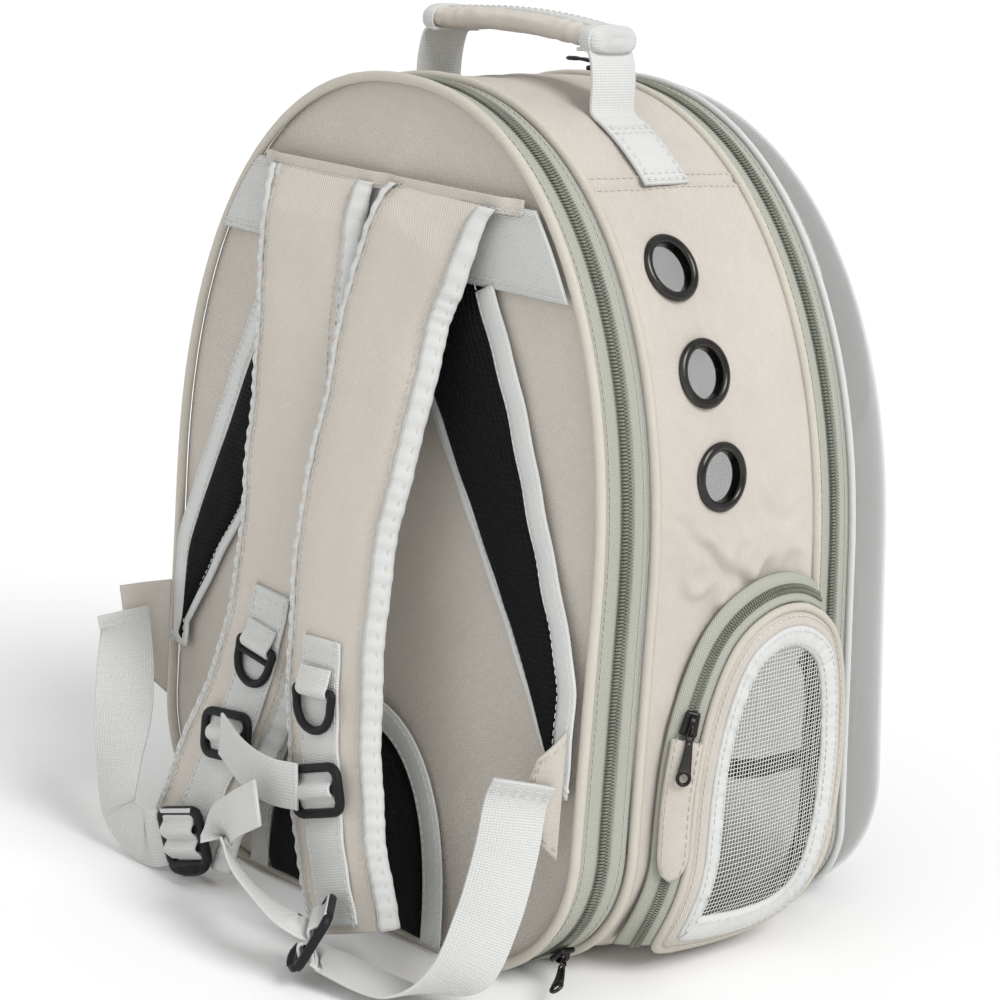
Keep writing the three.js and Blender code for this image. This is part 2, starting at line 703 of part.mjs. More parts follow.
// Strap anchors: a cloth triangle from each side seam to the lower webbing
const WING_TOP = 0.33 * HEIGHT;
const WING_BOTTOM = 0.18 * HEIGHT;
const WING_AWAY = PANEL_AWAY + PAD_THICK + GAP;
const WING_TIP = [
  { x: -0.96, z: 0.305, away: 22 },
  { x: -0.86, z: 0.225, away: 20 },
  { x: 1.03, z: 0.325, away: 32 },
  { x: 0.98, z: 0.235, away: 30 },
];
// A wing's four corners (upper root, upper tip, lower tip, lower root), the direction along its
// tip, the direction off its tip in its own plane, and its normal away from the middle of the case
function wingFrame(side) {
  const rows = side < 0 ? WING_TIP.slice(0, 2) : WING_TIP.slice(2);
  const [upper, lower] = rows.map((row) => behind(row.x * HALF_WIDTH, row.away, row.z * HEIGHT));
  const [rootUpper, rootLower] = [WING_TOP, WING_BOTTOM].map((z) => {
    return behind(side * (panelHalf(z) - 2), WING_AWAY, z);
  });
  const edge = upper.clone().sub(lower).normalize();
  const off = upper.clone().add(lower).sub(rootUpper).sub(rootLower);
  off.addScaledVector(edge, -off.dot(edge)).normalize();
  const normal = new THREE.Vector3().crossVectors(edge, off);
  if (normal.x * side < 0) normal.negate();
  const middle = upper.clone().add(lower).multiplyScalar(0.5);
  return { corners: [rootUpper, upper, lower, rootLower], edge, off, normal, middle };
}
for (const side of [-1, 1]) {
  const hand = side < 0 ? "left" : "right";
  const { corners, normal } = wingFrame(side);
  const outer = corners.map((p) => p.clone().addScaledVector(normal, CLOTH));
  add("anchor_wing_" + hand, skin([corners, outer], false), cloth(GREIGE));
}

// Shoulder straps, top to bottom: shares of half the width, of the height, and of the way out
// from the seat on the yoke to the full standoff
const STRAP_SEAT = PANEL_AWAY + CLOTH + BINDING_WALL + 3 * GAP;
const STRAP_ROUTES = {
  left: [
    { x: -0.284, z: 0.879, away: 0 },
    { x: -0.187, z: 0.767, away: 0.257 },
    { x: -0.174, z: 0.64, away: 0.537 },
    { x: -0.148, z: 0.512, away: 0.774 },
    { x: -0.155, z: 0.384, away: 0.898 },
    { x: -0.187, z: 0.256, away: 0.948 },
    { x: -0.258, z: 0.14, away: 1.0 },
    { x: -0.361, z: 0.039, away: 1.0 },
  ],
  right: [
    { x: 0.29, z: 0.879, away: 0 },
    { x: 0.284, z: 0.767, away: 0.128 },
    { x: 0.277, z: 0.64, away: 0.182 },
    { x: 0.297, z: 0.523, away: 0.205 },
    { x: 0.303, z: 0.395, away: 0.282 },
    { x: 0.348, z: 0.267, away: 0.436 },
    { x: 0.471, z: 0.14, away: 0.616 },
    { x: 0.548, z: 0.039, away: 0.77 },
  ],
};
const WEBBING_SHIFT = { left: 0, right: -6 };

// The strap's place and directions at a share of its length
function strapFrame(hand, t) {
  const rows = STRAP_ROUTES[hand];
  const curve = new THREE.CatmullRomCurve3(
    rows.map((r) => {
      const away = STRAP_SEAT + r.away * (STRAP_STANDOFF - STRAP_SEAT);
      return behind(r.x * HALF_WIDTH, away, r.z * HEIGHT);
    }),
  );
  const position = curve.getPoint(t);
  const tangent = curve.getTangent(t);
  const out = new THREE.Vector3().crossVectors(new THREE.Vector3(-1, 0, 0), tangent).normalize();
  if (out.y < 0) out.negate();
  const across = new THREE.Vector3().crossVectors(tangent, out).normalize();
  if (across.x < 0) across.negate();
  return { position, tangent, out, across };
}

function strapPoint(frame, a, b) {
  return frame.position.clone().addScaledVector(frame.across, a).addScaledVector(frame.out, b);
}

function strapStrip(hand, profileAt, from, to) {
  const loops = [];
  for (let i = from; i <= to; i++) {
    const t = i / STRAP_STEPS;
    const frame = strapFrame(hand, t);
    loops.push(profileAt(t).map(([a, b]) => strapPoint(frame, a, b)));
  }
  return skin(loops, false);
}

// The share of the strap's length at which it passes a height
function strapShare(hand, z) {
  let low = 0;
  let high = 1;
  for (let i = 0; i < 30; i++) {
    const middle = (low + high) / 2;
    if (strapFrame(hand, middle).position.z > z) low = middle;
    else high = middle;
  }
  return low;
}

const strapHalf = (t) => (STRAP_WIDTH / 2) * (1 + 0.18 * (1 - t) * (1 - t));
const WEBBING_START = 9;
const FACE = STRAP_THICK + BINDING_WALL + 2 * GAP;

// Folded tape that wraps the strap's two edges and its lower end
function bindingGeometry(hand) {
  const T = STRAP_THICK;
  const inner = [[-STRAP_BINDING, -GAP], [-4.6, -GAP], [GAP, T / 2], [-4.6, T + GAP], [-STRAP_BINDING, T + GAP]];
  const top = T + GAP + BINDING_WALL;
  const edge = [GAP + 1.4, T / 2];
  const outer = [[-STRAP_BINDING, top], [-4.2, top], edge, [-4.2, T - top], [-STRAP_BINDING, T - top]];
  const profile = [...inner, ...outer];
  const rows = [];
  const edgeRow = (frame, x, down, dx, dz) => {
    const at = ([a, b]) => strapPoint(frame, x + a * dx, b).addScaledVector(frame.tangent, down + a * dz);
    rows.push(profile.map(at));
  };
  for (let i = 0; i < STRAP_STEPS; i++) {
    const t = i / STRAP_STEPS;
    edgeRow(strapFrame(hand, t), strapHalf(t) - 2, 0, 1, 0);
  }
  const end = strapFrame(hand, 1);
  const half = strapHalf(1) - 2;
  edgeRow(end, half, 5, 0.7, 0.7);
  edgeRow(end, -half, 5, -0.7, 0.7);
  for (let i = STRAP_STEPS - 1; i >= 0; i--) {
    const t = i / STRAP_STEPS;
    edgeRow(strapFrame(hand, t), 2 - strapHalf(t), 0, -1, 0);
  }
  return skin(rows, false);
}

for (const hand of ["left", "right"]) {
  const pad = (t) => {
    const h = strapHalf(t) - 2;
    const T = STRAP_THICK;
    return [[-h, T / 2], [-h + 5, 0], [h - 5, 0], [h, T / 2], [h - 5, T], [-h + 5, T]];
  };
  add("shoulder_strap_" + hand, strapStrip(hand, pad, 0, STRAP_STEPS), cloth(GREIGE));
  add("strap_binding_" + hand, bindingGeometry(hand), cloth(WHITE_TAPE));
  const shift = WEBBING_SHIFT[hand];
  const w = WEBBING / 2;
  const webbing = () => [[shift - w, FACE], [shift + w, FACE], [shift + w, FACE + CLOTH], [shift - w, FACE + CLOTH]];
  add("strap_webbing_" + hand, strapStrip(hand, webbing, WEBBING_START, STRAP_STEPS), cloth(GREY_WEBBING));
}

// Places a geometry, drawn in its own x and y with its thickness along z, on a strap's webbing
function onStrap(name, hand, geometry, z, lift, tilt, material) {
  const frame = strapFrame(hand, strapShare(hand, z));
  const up = frame.tangent.clone().negate();
  const x = new THREE.Vector3().crossVectors(up, frame.out).normalize();
  const origin = strapPoint(frame, WEBBING_SHIFT[hand], FACE + CLOTH + lift);
  const mesh = add(name, geometry, material);
  const turn = new THREE.Matrix4().makeBasis(x, up, frame.out).setPosition(origin);
  mesh.applyMatrix4(turn.multiply(new THREE.Matrix4().makeRotationZ(tilt)));
  return mesh;
}

// A bar bent along a flat closed line of points, with five sides
function bentRod(line, rod) {
  const n = line.length;
  const rows = line.map(([x, y], i) => {
    const [ax, ay] = line[(i + n - 1) % n];
    const [bx, by] = line[(i + 1) % n];
    const length = Math.hypot(bx - ax, by - ay);
    const nx = (by - ay) / length;
    const ny = -(bx - ax) / length;
    const ring = [];
    for (let k = 0; k < 5; k++) {
      const a = (2 * Math.PI * k) / 5;
      const r = (rod / 2) * Math.cos(a);
      ring.push(new THREE.Vector3(x + nx * r, y + ny * r, rod / 2 + (rod / 2) * Math.sin(a)));
    }
    return ring;
  });
  return skin(rows, true);
}

function dRingLine() {
  const half = D_RING_WIDTH / 2 - D_RING_ROD / 2;
  const straight = D_RING_HEIGHT - D_RING_ROD - half;
  const points = [[-half, 0], [0, 0], [half, 0], [half, -straight]];
  for (let i = 1; i < 8; i++) {
    const a = (Math.PI * i) / 8;
    points.push([half * Math.cos(a), -straight - half * Math.sin(a)]);
  }
  points.push([-half, -straight]);
  return points;
}

// A flat buckle with two slots beside a bar
function slottedPlate(width, height, thick, rail, bar) {
  const shape = new THREE.Shape();
  const w = width / 2;
  const h = height / 2;
  const [a, b] = [w - BUCKLE_CORNER, h - BUCKLE_CORNER];
  shape.moveTo(-a, -h);
  [[a, -h], [w, -b], [w, b], [a, h], [-a, h], [-w, b], [-w, -b]].forEach(([x, y]) => shape.lineTo(x, y));
  for (const end of [-1, 1]) {
    const slot = new THREE.Path();
    const low = end < 0 ? rail - h : bar / 2;
    const high = end < 0 ? -bar / 2 : h - rail;
    const x = w - rail;
    slot.moveTo(-x, low);
    [[x, low], [x, high], [-x, high]].forEach(([px, py]) => slot.lineTo(px, py));
    shape.holes.push(slot);
  }
  return new THREE.ExtrudeGeometry(shape, { depth: thick, bevelEnabled: false });
}

const D_RING_Z = 0.315 * HEIGHT;
const SLIDER_Z = 0.2 * HEIGHT;
for (const hand of ["left", "right"]) {
  onStrap("d_ring_" + hand, hand, bentRod(dRingLine(), D_RING_ROD), D_RING_Z, GAP, 0, plastic());
  const slider = slottedPlate(SLIDER_WIDTH, SLIDER_HEIGHT, SLIDER_THICK, SLIDER_RAIL, SLIDER_BAR);
  onStrap("sternum_slider_" + hand, hand, slider, SLIDER_Z, GAP, hand === "left" ? 0.12 : 0.5, plastic());
}

// Ladder locks where the lower webbing is tightened: shares of half the width and of the height,
// the distance behind the panel, and the directions up and across the buckle
const LOCKS = {
  left: { x: -0.372, away: 75.2, z: 0.062, up: [-0.32, -0.31, 0.89], across: [0.7, -0.71, 0] },
  right: { x: 0.47, away: 52.4, z: 0.062, up: [0.3, 0.1, 0.95], across: [0.95, 0, -0.3] },
};
function lockFrame(hand) {
  const lock = LOCKS[hand];
  const up = new THREE.Vector3(...lock.up).normalize();
  const out = new THREE.Vector3().crossVectors(new THREE.Vector3(...lock.across), up).normalize();
  const across = new THREE.Vector3().crossVectors(up, out);
  const centre = behind(lock.x * HALF_WIDTH, lock.away, lock.z * HEIGHT);
  return { centre, up, out, across };
}
for (const hand of ["left", "right"]) {
  const { centre, up, out, across } = lockFrame(hand);
  const turn = new THREE.Matrix4().makeBasis(across, up, out).setPosition(centre);
  const plateShape = slottedPlate(LOCK_WIDTH, LOCK_HEIGHT, LOCK_THICK, LOCK_RAIL, LOCK_BAR);
  add("ladder_lock_" + hand, plateShape, plastic()).applyMatrix4(turn);
}

// A row of a webbing's route: a place and the direction across the webbing
function webbingRow(point, across) {
  return { x: point.x, y: point.y, z: point.z, ax: across.x, ay: across.y, az: across.z };
}

// Rows given by hand: x, distance behind, z, and the direction across the webbing
function webbingRows(rows) {
  const direction = (r) => new THREE.Vector3(r.ax, r.ay, r.az);
  return rows.map((r) => webbingRow(behind(r.x * HALF_WIDTH, r.away, r.z * HEIGHT), direction(r)));
}

function webbingStrip(name, rows, width, count) {
  add(name, stripGeometry(rows, flatProfile(width, CLOTH), count), cloth(GREY_WEBBING));
}

// The first rows of a webbing sewn to the tip of a wing: it runs down beside the tip, in the wing's plane
function wingRows(side) {
  const { edge, off, middle } = wingFrame(side);
  const start = middle.clone().addScaledVector(off, LOWER_WEBBING / 2 + GAP);
  return [SEAT_RUN, -SEAT_RUN].map((d) => webbingRow(start.clone().addScaledVector(edge, d), off));
}
const LOCK_LEFT = lockFrame("left");
const LOCK_RIGHT = lockFrame("right");
const leftAcross = LOCK_LEFT.across.clone().negate();
const leftLow = LOCK_LEFT.centre.clone().addScaledVector(LOCK_LEFT.up, -LOCK_HEIGHT / 4);
const leftSeat = [LOCK_THICK + LOCK_RUN, LOCK_THICK + GAP].map((d) =>
  webbingRow(leftLow.clone().addScaledVector(LOCK_LEFT.out, d), leftAcross),
);
webbingStrip("lower_webbing_left", [
  ...wingRows(-1),
  ...webbingRows([
    { x: -0.84, away: 39, z: 0.2, ax: 0.6, ay: 0.8, az: 0.2 },
    { x: -0.82, away: 46, z: 0.14, ax: 0.7, ay: 0.8, az: 0.1 },
    { x: -0.76, away: 53, z: 0.08, ax: 0.6, ay: 0.9, az: 0.1 },
    { x: -0.64, away: 57, z: 0.035, ax: 0.1, ay: 1, az: 0.1 },
  ]),
  ...leftSeat,
], LOWER_WEBBING, 16);
const rightSeat = [1.5 * LOCK_RUN, 3 * GAP].map((d) =>
  webbingRow(
    LOCK_RIGHT.centre.clone().addScaledVector(LOCK_RIGHT.across, LOCK_WIDTH / 2 + d)
      .addScaledVector(LOCK_RIGHT.out, 2 * CLOTH),
    LOCK_RIGHT.up.clone().negate(),
  ),
);
webbingStrip("lower_webbing_right", [
  ...wingRows(1),
  ...webbingRows([
    { x: 0.96, away: 50, z: 0.19, ax: 0.5, ay: 0.85, az: -0.2 },
    { x: 0.94, away: 53, z: 0.12, ax: 0.9, ay: 0.2, az: -0.1 },
    { x: 0.88, away: 53, z: 0.06, ax: 0.75, ay: 0, az: -0.6 },
  ]),
  ...rightSeat,
], LOWER_WEBBING, 14);
const tailSeat = [-GAP, -LOCK_RUN].map((d) =>
  webbingRow(LOCK_LEFT.centre.clone().addScaledVector(LOCK_LEFT.out, d), leftAcross),
);
webbingStrip("tail_webbing", [
  ...tailSeat,
  ...webbingRows([
    { x: -0.14, away: 82, z: 0.09, ax: 0, ay: 1, az: 0.7 },
    { x: 0.02, away: 74, z: 0.1, ax: 0, ay: 0.8, az: 1 },
    { x: 0.1, away: 74, z: 0.125, ax: 0.5, ay: 0.2, az: 1 },
    { x: 0.02, away: 78, z: 0.155, ax: 0.6, ay: -0.3, az: 1 },
    { x: -0.1, away: 78, z: 0.185, ax: 0.6, ay: -0.3, az: 1 },
  ]),
], STERNUM_WEBBING, 16);
webbingStrip("sternum_webbing", webbingRows([
  { x: 0.36, away: 44.3, z: 0.205, ax: 0.1, ay: 0, az: 1 },
  { x: 0.16, away: 55, z: 0.195, ax: 0.1, ay: 0, az: 1 },
  { x: -0.02, away: 61, z: 0.195, ax: 0.1, ay: 0, az: 1 },
  { x: -0.15, away: 59.5, z: 0.2, ax: 0.1, ay: 0, az: 1 },
]), STERNUM_WEBBING, 8);

// Carrying handle: webbing sewn down the arch on each side, and a padded grip between
function archSpot(x, depth, off) {
  const loop = rawOutline(depth);
  const steps = BOTTOM_STEPS + CORNER_STEPS + SIDE_STEPS + ARCH_STEPS;
  for (let i = steps - ARCH_STEPS; i < steps; i++) {
    const [ax, az] = loop[i];
    const [bx, bz] = loop[i + 1];
    if (x >= bx) {
      const z = az + ((bz - az) * (x - ax)) / (bx - ax);
      const length = Math.hypot(bx - ax, bz - az);
      return [x + ((bz - az) / length) * off, z + ((ax - bx) / length) * off];
    }
  }
  return [0, HEIGHT + off];
}
{
  const nominal = HANDLE_DEPTH / lean(HEIGHT);
  const gripZ = HANDLE_TOP - GRIP_THICK;
  const gripUnder = (x) => gripZ - GRIP_SAG * (x / GRIP_HALF) * (x / GRIP_HALF);
  for (const side of [-1, 1]) {
    const hand = side < 0 ? "left" : "right";
    const seat = 1.2;
    const spots = [1, 0.66, 0.33, 0.06].map((s) => archSpot(HANDLE_HALF + s * HANDLE_PATCH, nominal, seat));
    const foot = archSpot(HANDLE_HALF, nominal, 0)[1];
    const rise = [HANDLE_HALF - 1, (foot + gripZ) / 2 + 1];
    const head = [HANDLE_HALF - 7, gripUnder(HANDLE_HALF - 7) - CLOTH / 2 - GAP];
    const line = [...spots, rise, head];
    const rows = line.map(([x, z], i) => {
      const [ax, az] = line[Math.max(i - 1, 0)];
      const [bx, bz] = line[Math.min(i + 1, line.length - 1)];
      const length = Math.hypot(bx - ax, bz - az);
      const nx = (bz - az) / length;
      const nz = (ax - bx) / length;
      const w = HANDLE_WIDTH / 2;
      return [[-w, 0], [w, 0], [w, CLOTH], [-w, CLOTH]].map(
        ([across, up]) => new THREE.Vector3(side * (x + nx * up), BACK_Y - HANDLE_DEPTH + across, z + nz * up),
      );
    });
    add("handle_webbing_" + hand, skin(rows, false), cloth(WHITE_TAPE));
  }
  const rows = [];
  const steps = 8;
  for (let i = 0; i <= steps; i++) {
    const s = (2 * i) / steps - 1;
    const x = s * GRIP_HALF;
    const z = gripUnder(x);
    const w = HANDLE_WIDTH / 2;
    const t = GRIP_THICK;
    const profile = [[-w + 3, 0], [w - 3, 0], [w, t * 0.4], [w - 3, t], [-w + 3, t], [-w, t * 0.4]];
    rows.push(profile.map(([across, up]) => new THREE.Vector3(x, BACK_Y - HANDLE_DEPTH + across, z + up)));
  }
  add("handle_grip", skin(rows, false), cloth(GREIGE));
}

// A place on the outside of a zip coil: the outline's segment and the share along it
function coilSpot(depth, segment, share, side) {
  const loop = outline(depth, TAPE_RECESS - GAP - COIL_RISE - SLIDER_SEAT);
  const [a, b] = [loop[segment], loop[segment + 1]];
  const x = a[0] + (b[0] - a[0]) * share;
  const z = a[1] + (b[1] - a[1]) * share;
  const seat = place(side * x, depth, z);
  const along = new THREE.Vector3(side * (b[0] - a[0]), 0, b[1] - a[1]).normalize();
  const out = new THREE.Vector3(side * (b[1] - a[1]), 0, a[0] - b[0]).normalize();
  return { seat, along, out };
}
{
  const arch = BOTTOM_STEPS + CORNER_STEPS + SIDE_STEPS;
  const backCoil = BAND_START + ZIP_BAND / 2;
  const frontCoil = FRONT_BAND + ZIP_BAND / 2;
  const back = coilSpot(backCoil, BOTTOM_STEPS + 1, 0.5, -1);
  const floorWay = new THREE.Vector3(-0.6, 0.8, -0.13);
  zipSlider("back_zip_slider", back.seat, back.along, back.out, floorWay, new THREE.Vector3(0, 0, 1));
  const first = coilSpot(frontCoil, arch + 6, 0.5, 1);
  zipSlider("front_zip_slider_right", first.seat, first.along, first.out, first.along.clone().negate(), first.out);
  const second = coilSpot(frontCoil, arch + 8, 0.3, 1);
  zipSlider("front_zip_slider_left", second.seat, second.along, second.out, second.along, second.out);
  for (const side of [-1, 1]) {
    const hand = side < 0 ? "left" : "right";
    const loop = doorLoop(-DOOR_ZIP / 2, DOOR_STEPS);
    const z = 0.335 * HEIGHT;
    const k = loop.findIndex(([, h], i) => h <= z && loop[i + 1][1] > z);
    const share = (z - loop[k][1]) / (loop[k + 1][1] - loop[k][1]);
    const depth = loop[k][0] + share * (loop[k + 1][0] - loop[k][0]);
    const off = tapeOff(-DOOR_ZIP / 2) + DOOR_COIL_RISE + SLIDER_SEAT;
    const seat = onSide(side, depth, z, off);
    const along = onSide(side, loop[k + 1][0], loop[k + 1][1], off).sub(onSide(side, loop[k][0], loop[k][1], off));
    const out = new THREE.Vector3(side * 0.8, 0.6, 0);
    zipSlider("door_zip_slider_" + hand, seat, along, out, new THREE.Vector3(0, 0.1, -1), out);
  }
}

export default part;
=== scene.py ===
"""Expandable pet carrier backpack: cloth, zips, straps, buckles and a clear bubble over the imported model.
"""

import bpy
import numpy as np
from mathutils import Matrix, Vector


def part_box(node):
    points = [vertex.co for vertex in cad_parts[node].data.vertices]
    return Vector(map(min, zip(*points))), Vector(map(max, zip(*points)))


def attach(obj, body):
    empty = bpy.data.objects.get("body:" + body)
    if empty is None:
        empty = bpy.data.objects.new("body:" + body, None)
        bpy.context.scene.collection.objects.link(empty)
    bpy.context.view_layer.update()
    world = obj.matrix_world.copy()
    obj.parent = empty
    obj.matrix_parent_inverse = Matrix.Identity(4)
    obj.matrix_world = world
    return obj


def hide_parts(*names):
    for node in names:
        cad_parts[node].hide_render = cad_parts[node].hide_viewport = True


bl_info = {
    "name": "Pet Carrier Backpack",
    "version": (1, 0, 0),
    "blender": (4, 5, 0),
    "location": "View3D > Sidebar > Carrier",
    "description": "Builds the finished surfaces of an expandable pet carrier backpack",
    "category": "Object",
}

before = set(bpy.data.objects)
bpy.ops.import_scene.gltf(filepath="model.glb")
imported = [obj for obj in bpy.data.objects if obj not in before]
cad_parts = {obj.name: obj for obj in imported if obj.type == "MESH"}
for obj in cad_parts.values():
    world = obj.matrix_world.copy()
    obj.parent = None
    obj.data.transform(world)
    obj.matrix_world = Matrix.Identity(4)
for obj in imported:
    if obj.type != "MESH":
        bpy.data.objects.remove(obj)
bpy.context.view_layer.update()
MM = 0.001

# The case, in metres, as the solids have it
HEIGHT = 0.430
HALF = 0.155
SHOULDER = 0.200
ARCH_POWER = 2.2
BACK_CORNER = 0.078
FRONT_CORNER = 0.052
SWELL = 0.007
LEAN = 0.24
PIPE = 0.0052
BAND = 0.0285
GUSSET = 0.116
EDGE_PIPE = 0.004
GAP = 0.0003
BAND_START = PIPE + GAP
REAR_SEAM = BAND_START + BAND + GAP
GUSSET_START = REAR_SEAM + PIPE + GAP
GUSSET_END = GUSSET_START + GUSSET
FRONT_SEAM = GUSSET_END + GAP
FRONT_BAND = FRONT_SEAM + PIPE + GAP
EDGE_START = FRONT_BAND + BAND + GAP
BUBBLE_START = EDGE_START + EDGE_PIPE / 2 * (1 + np.cos(np.pi / 4)) + GAP
BACK_Y = BUBBLE_START * (1 + LEAN / 2) / 2
RING = 640

HANDS = {"left": -1, "right": 1}
EYELETS = [(0.274, 0.823), (0.32, 0.712), (0.363, 0.598)]
DOOR_TABLE = [
    (0.05, 0.06), (0.03, 0.32), (0.05, 0.64), (0.18, 0.89), (0.40, 0.99), (0.66, 0.98),
    (0.88, 0.86), (0.98, 0.62), (0.99, 0.34), (0.90, 0.12), (0.70, 0.01), (0.36, 0.0),
]
DOOR_REAR, DOOR_WIDTH = 0.059, 0.123
DOOR_LOW, DOOR_HEIGHT = 0.016, 0.176
DOOR_FLOOR = 0.001

ROUTES = {
    "left": [
        (-0.284, 0, 0.879), (-0.187, 0.257, 0.767), (-0.174, 0.537, 0.64), (-0.148, 0.774, 0.512),
        (-0.155, 0.898, 0.384), (-0.187, 0.948, 0.256), (-0.258, 1.0, 0.14), (-0.361, 1.0, 0.039),
    ],
    "right": [
        (0.29, 0, 0.879), (0.284, 0.128, 0.767), (0.277, 0.182, 0.64), (0.297, 0.205, 0.523),
        (0.303, 0.282, 0.395), (0.348, 0.436, 0.267), (0.471, 0.616, 0.14), (0.548, 0.77, 0.039),
    ],
}
STRAP_SEAT, STANDOFF = 0.0049, 0.042
STRAP_THICK = 0.009
STERNUM_TILT = {"left": 0.12, "right": 0.5}

# Widths, seats and depths of the sewn pieces, in metres
TAPE_BEVEL = 0.0006
WEBBING_THICK = 0.0016
LOWER_WIDTH, TAIL_WIDTH = 0.031, 0.024
PAD_SEAT = 0.0004
YOKE_LOW, YOKE_TOP = 0.340, 0.380
EYELET_HOLE = 0.0138
SEAM_STITCH = 0.0034
DOOR_TOOTH_PITCH = 0.0015
HANDLE_DEPTH = 0.086
GRIP_LOW, GRIP_HALF = 0.452, 0.060
WRAP_AT = 0.0555
BUBBLE_DEPTH, DOME_POWER = 0.086, 2 / 2.5
FLOOR_CLEAR = 0.0001


def tint(red, green, blue):
    """A colour given as it looks on a screen, 0 to 255, turned to scene linear."""
    c = np.array([red, green, blue]) / 255
    return tuple(np.where(c < 0.04045, c / 12.92, ((c + 0.055) / 1.055) ** 2.4))


def shade(colour, share):
    """A colour made darker or lighter by a share."""
    return tuple(np.array(colour) * share)


def length_value(label, value, text):
    """A length that a user may change."""
    return bpy.props.FloatProperty(
        name=label, description=text, default=value, unit="LENGTH", precision=5
    )


def colour_value(label, value, text):
    """A colour that a user may change."""
    return bpy.props.FloatVectorProperty(
        name=label, description=text, default=value, subtype="COLOR", size=3, min=0, max=1
    )


class CarrierSizes(bpy.types.PropertyGroup):
    """Sizes of the sewn and moulded detail."""

    ripple: length_value("Ripple", 0.0012, "Depth of the slack in the case cloth")
    panel_crown: length_value("Panel crown", 0.004, "How far the back panel's foam stands out")
    pad_crown: length_value("Pad crown", 0.0052, "How far the mesh pads stand out")
    tooth_pitch: length_value("Tooth pitch", 0.0017, "Distance between two zip teeth")
    stitch: length_value("Stitch", 0.0030, "Length of one stitch")
    stitch_step: length_value("Stitch step", 0.0041, "Distance between two stitches")
    thread: length_value("Thread", 0.0005, "Thickness of the sewing thread")
    net_pitch: length_value("Net pitch", 0.0021, "Distance between two threads of the window net")
    net_thread: length_value("Net thread", 0.00042, "Thickness of the window net's threads")
    shell_wall: length_value("Shell wall", 0.0014, "Thickness of the clear bubble")


class CarrierColours(bpy.types.PropertyGroup):
    """Colours of the cloth, tape, plastic and metal."""

    case: colour_value("Case cloth", tint(203, 196, 187), "Woven cloth of the case and straps")
    case_light: colour_value("Case cloth, faded", tint(214, 208, 198), "Paler patches of the case cloth")
    piping: colour_value("Piping", tint(206, 200, 188), "Covered cord in the seams")
    sage: colour_value("Zip tape", tint(176, 177, 166), "Herringbone tape of the zips")
    coil: colour_value("Zip coil", tint(118, 120, 109), "Nylon teeth of the zips")
    tape: colour_value("Light tape", tint(216, 217, 215), "Twill binding and handle webbing")
    webbing: colour_value("Webbing", tint(218, 219, 216), "Ribbed strap webbing")
    mesh: colour_value("Spacer mesh", tint(12, 12, 13), "Black mesh of the back pads")
    net: colour_value("Window net", tint(214, 215, 211), "Threads of the window net")
    plastic: colour_value("Buckles", tint(30, 30, 32), "Moulded buckles")
    metal: colour_value("Metal", tint(58, 56, 54), "Dark plated eyelets and sliders")
    shell: colour_value("Clear shell", tint(156, 157, 154), "Tint of the clear bubble")
    floor: colour_value("Floor", tint(246, 246, 246), "Studio floor")


# Numbers to shapes


def resample(points, count, closed=False):
    """Points at equal steps of arc length along a polyline, by linear interpolation of its running
    length.
    """
    p = np.asarray(points, float)
    if closed:
        p = np.vstack([p, p[:1]])
    run = np.r_[0, np.cumsum(np.linalg.norm(np.diff(p, axis=0), axis=1))]
    at = np.linspace(0, run[-1], count + 1)[:-1] if closed else np.linspace(0, run[-1], count)
    return np.stack([np.interp(at, run, p[:, k]) for k in range(p.shape[1])], axis=1)


def spline(points, count, closed=False):
    """A Catmull-Rom curve through the points: each span is a cubic whose end slopes are half the step
    between neighbours.
    """
    p = np.asarray(points, float)
    n = len(p)
    if closed:
        spans = n
        q = np.vstack([p[-1:], p, p[:2]])
    else:
        spans = n - 1
        q = np.vstack([2 * p[0] - p[1], p, 2 * p[-1] - p[-2]])
    t = np.linspace(0, spans, count, endpoint=not closed)
    k = np.minimum(t.astype(int), spans - 1)
    f = (t - k)[:, None]
    a, b, c, d = q[k], q[k + 1], q[k + 2], q[k + 3]
    return 0.5 * (
        2 * b + (c - a) * f + (2 * a - 5 * b + 4 * c - d) * f**2 + (3 * b - a - 3 * c + d) * f**3
    )


def run_of(path):
    """Length of a polyline."""
    return float(np.linalg.norm(np.diff(path, axis=0), axis=1).sum())


def unit(v):
    """Vectors over their own lengths."""
    return v / np.maximum(np.linalg.norm(v, axis=-1, keepdims=True), 1e-12)


def rounded(wave, power):
    """A cosine or sine raised to a power with its sign kept, which squares off a circle."""
    return np.sign(wave) * np.abs(wave) ** power


def circle(count):
    """Equal angles round a circle."""
    return np.linspace(0, 2 * np.pi, count, endpoint=False)


def heading(loop):
    """Directions along a closed loop: from each point's neighbour behind to the one ahead."""
    return unit(np.roll(loop, -1, axis=0) - np.roll(loop, 1, axis=0))


def outward(loop):
    """Normals of a flat closed loop: its headings turned by a right angle."""
    way = heading(loop)
    return np.stack([way[:, 1], -way[:, 0]], axis=1)


def soft_noise(u, v, seed, scale, waves=10):
    """A smooth field: the mean of cosines whose directions, lengths about the scale and phases come from
    a seed.
    """
    r = np.random.default_rng(seed)
    angle, phase = r.uniform(0, 2 * np.pi, (2, waves))
    k = 2 * np.pi / scale * r.uniform(0.5, 1.6, waves)
    shape = np.shape(u)
    u, v = np.ravel(u)[:, None], np.ravel(v)[:, None]
    field = np.cos(k * (u * np.cos(angle) + v * np.sin(angle)) + phase).mean(axis=1) * 1.8
    return field.reshape(shape)


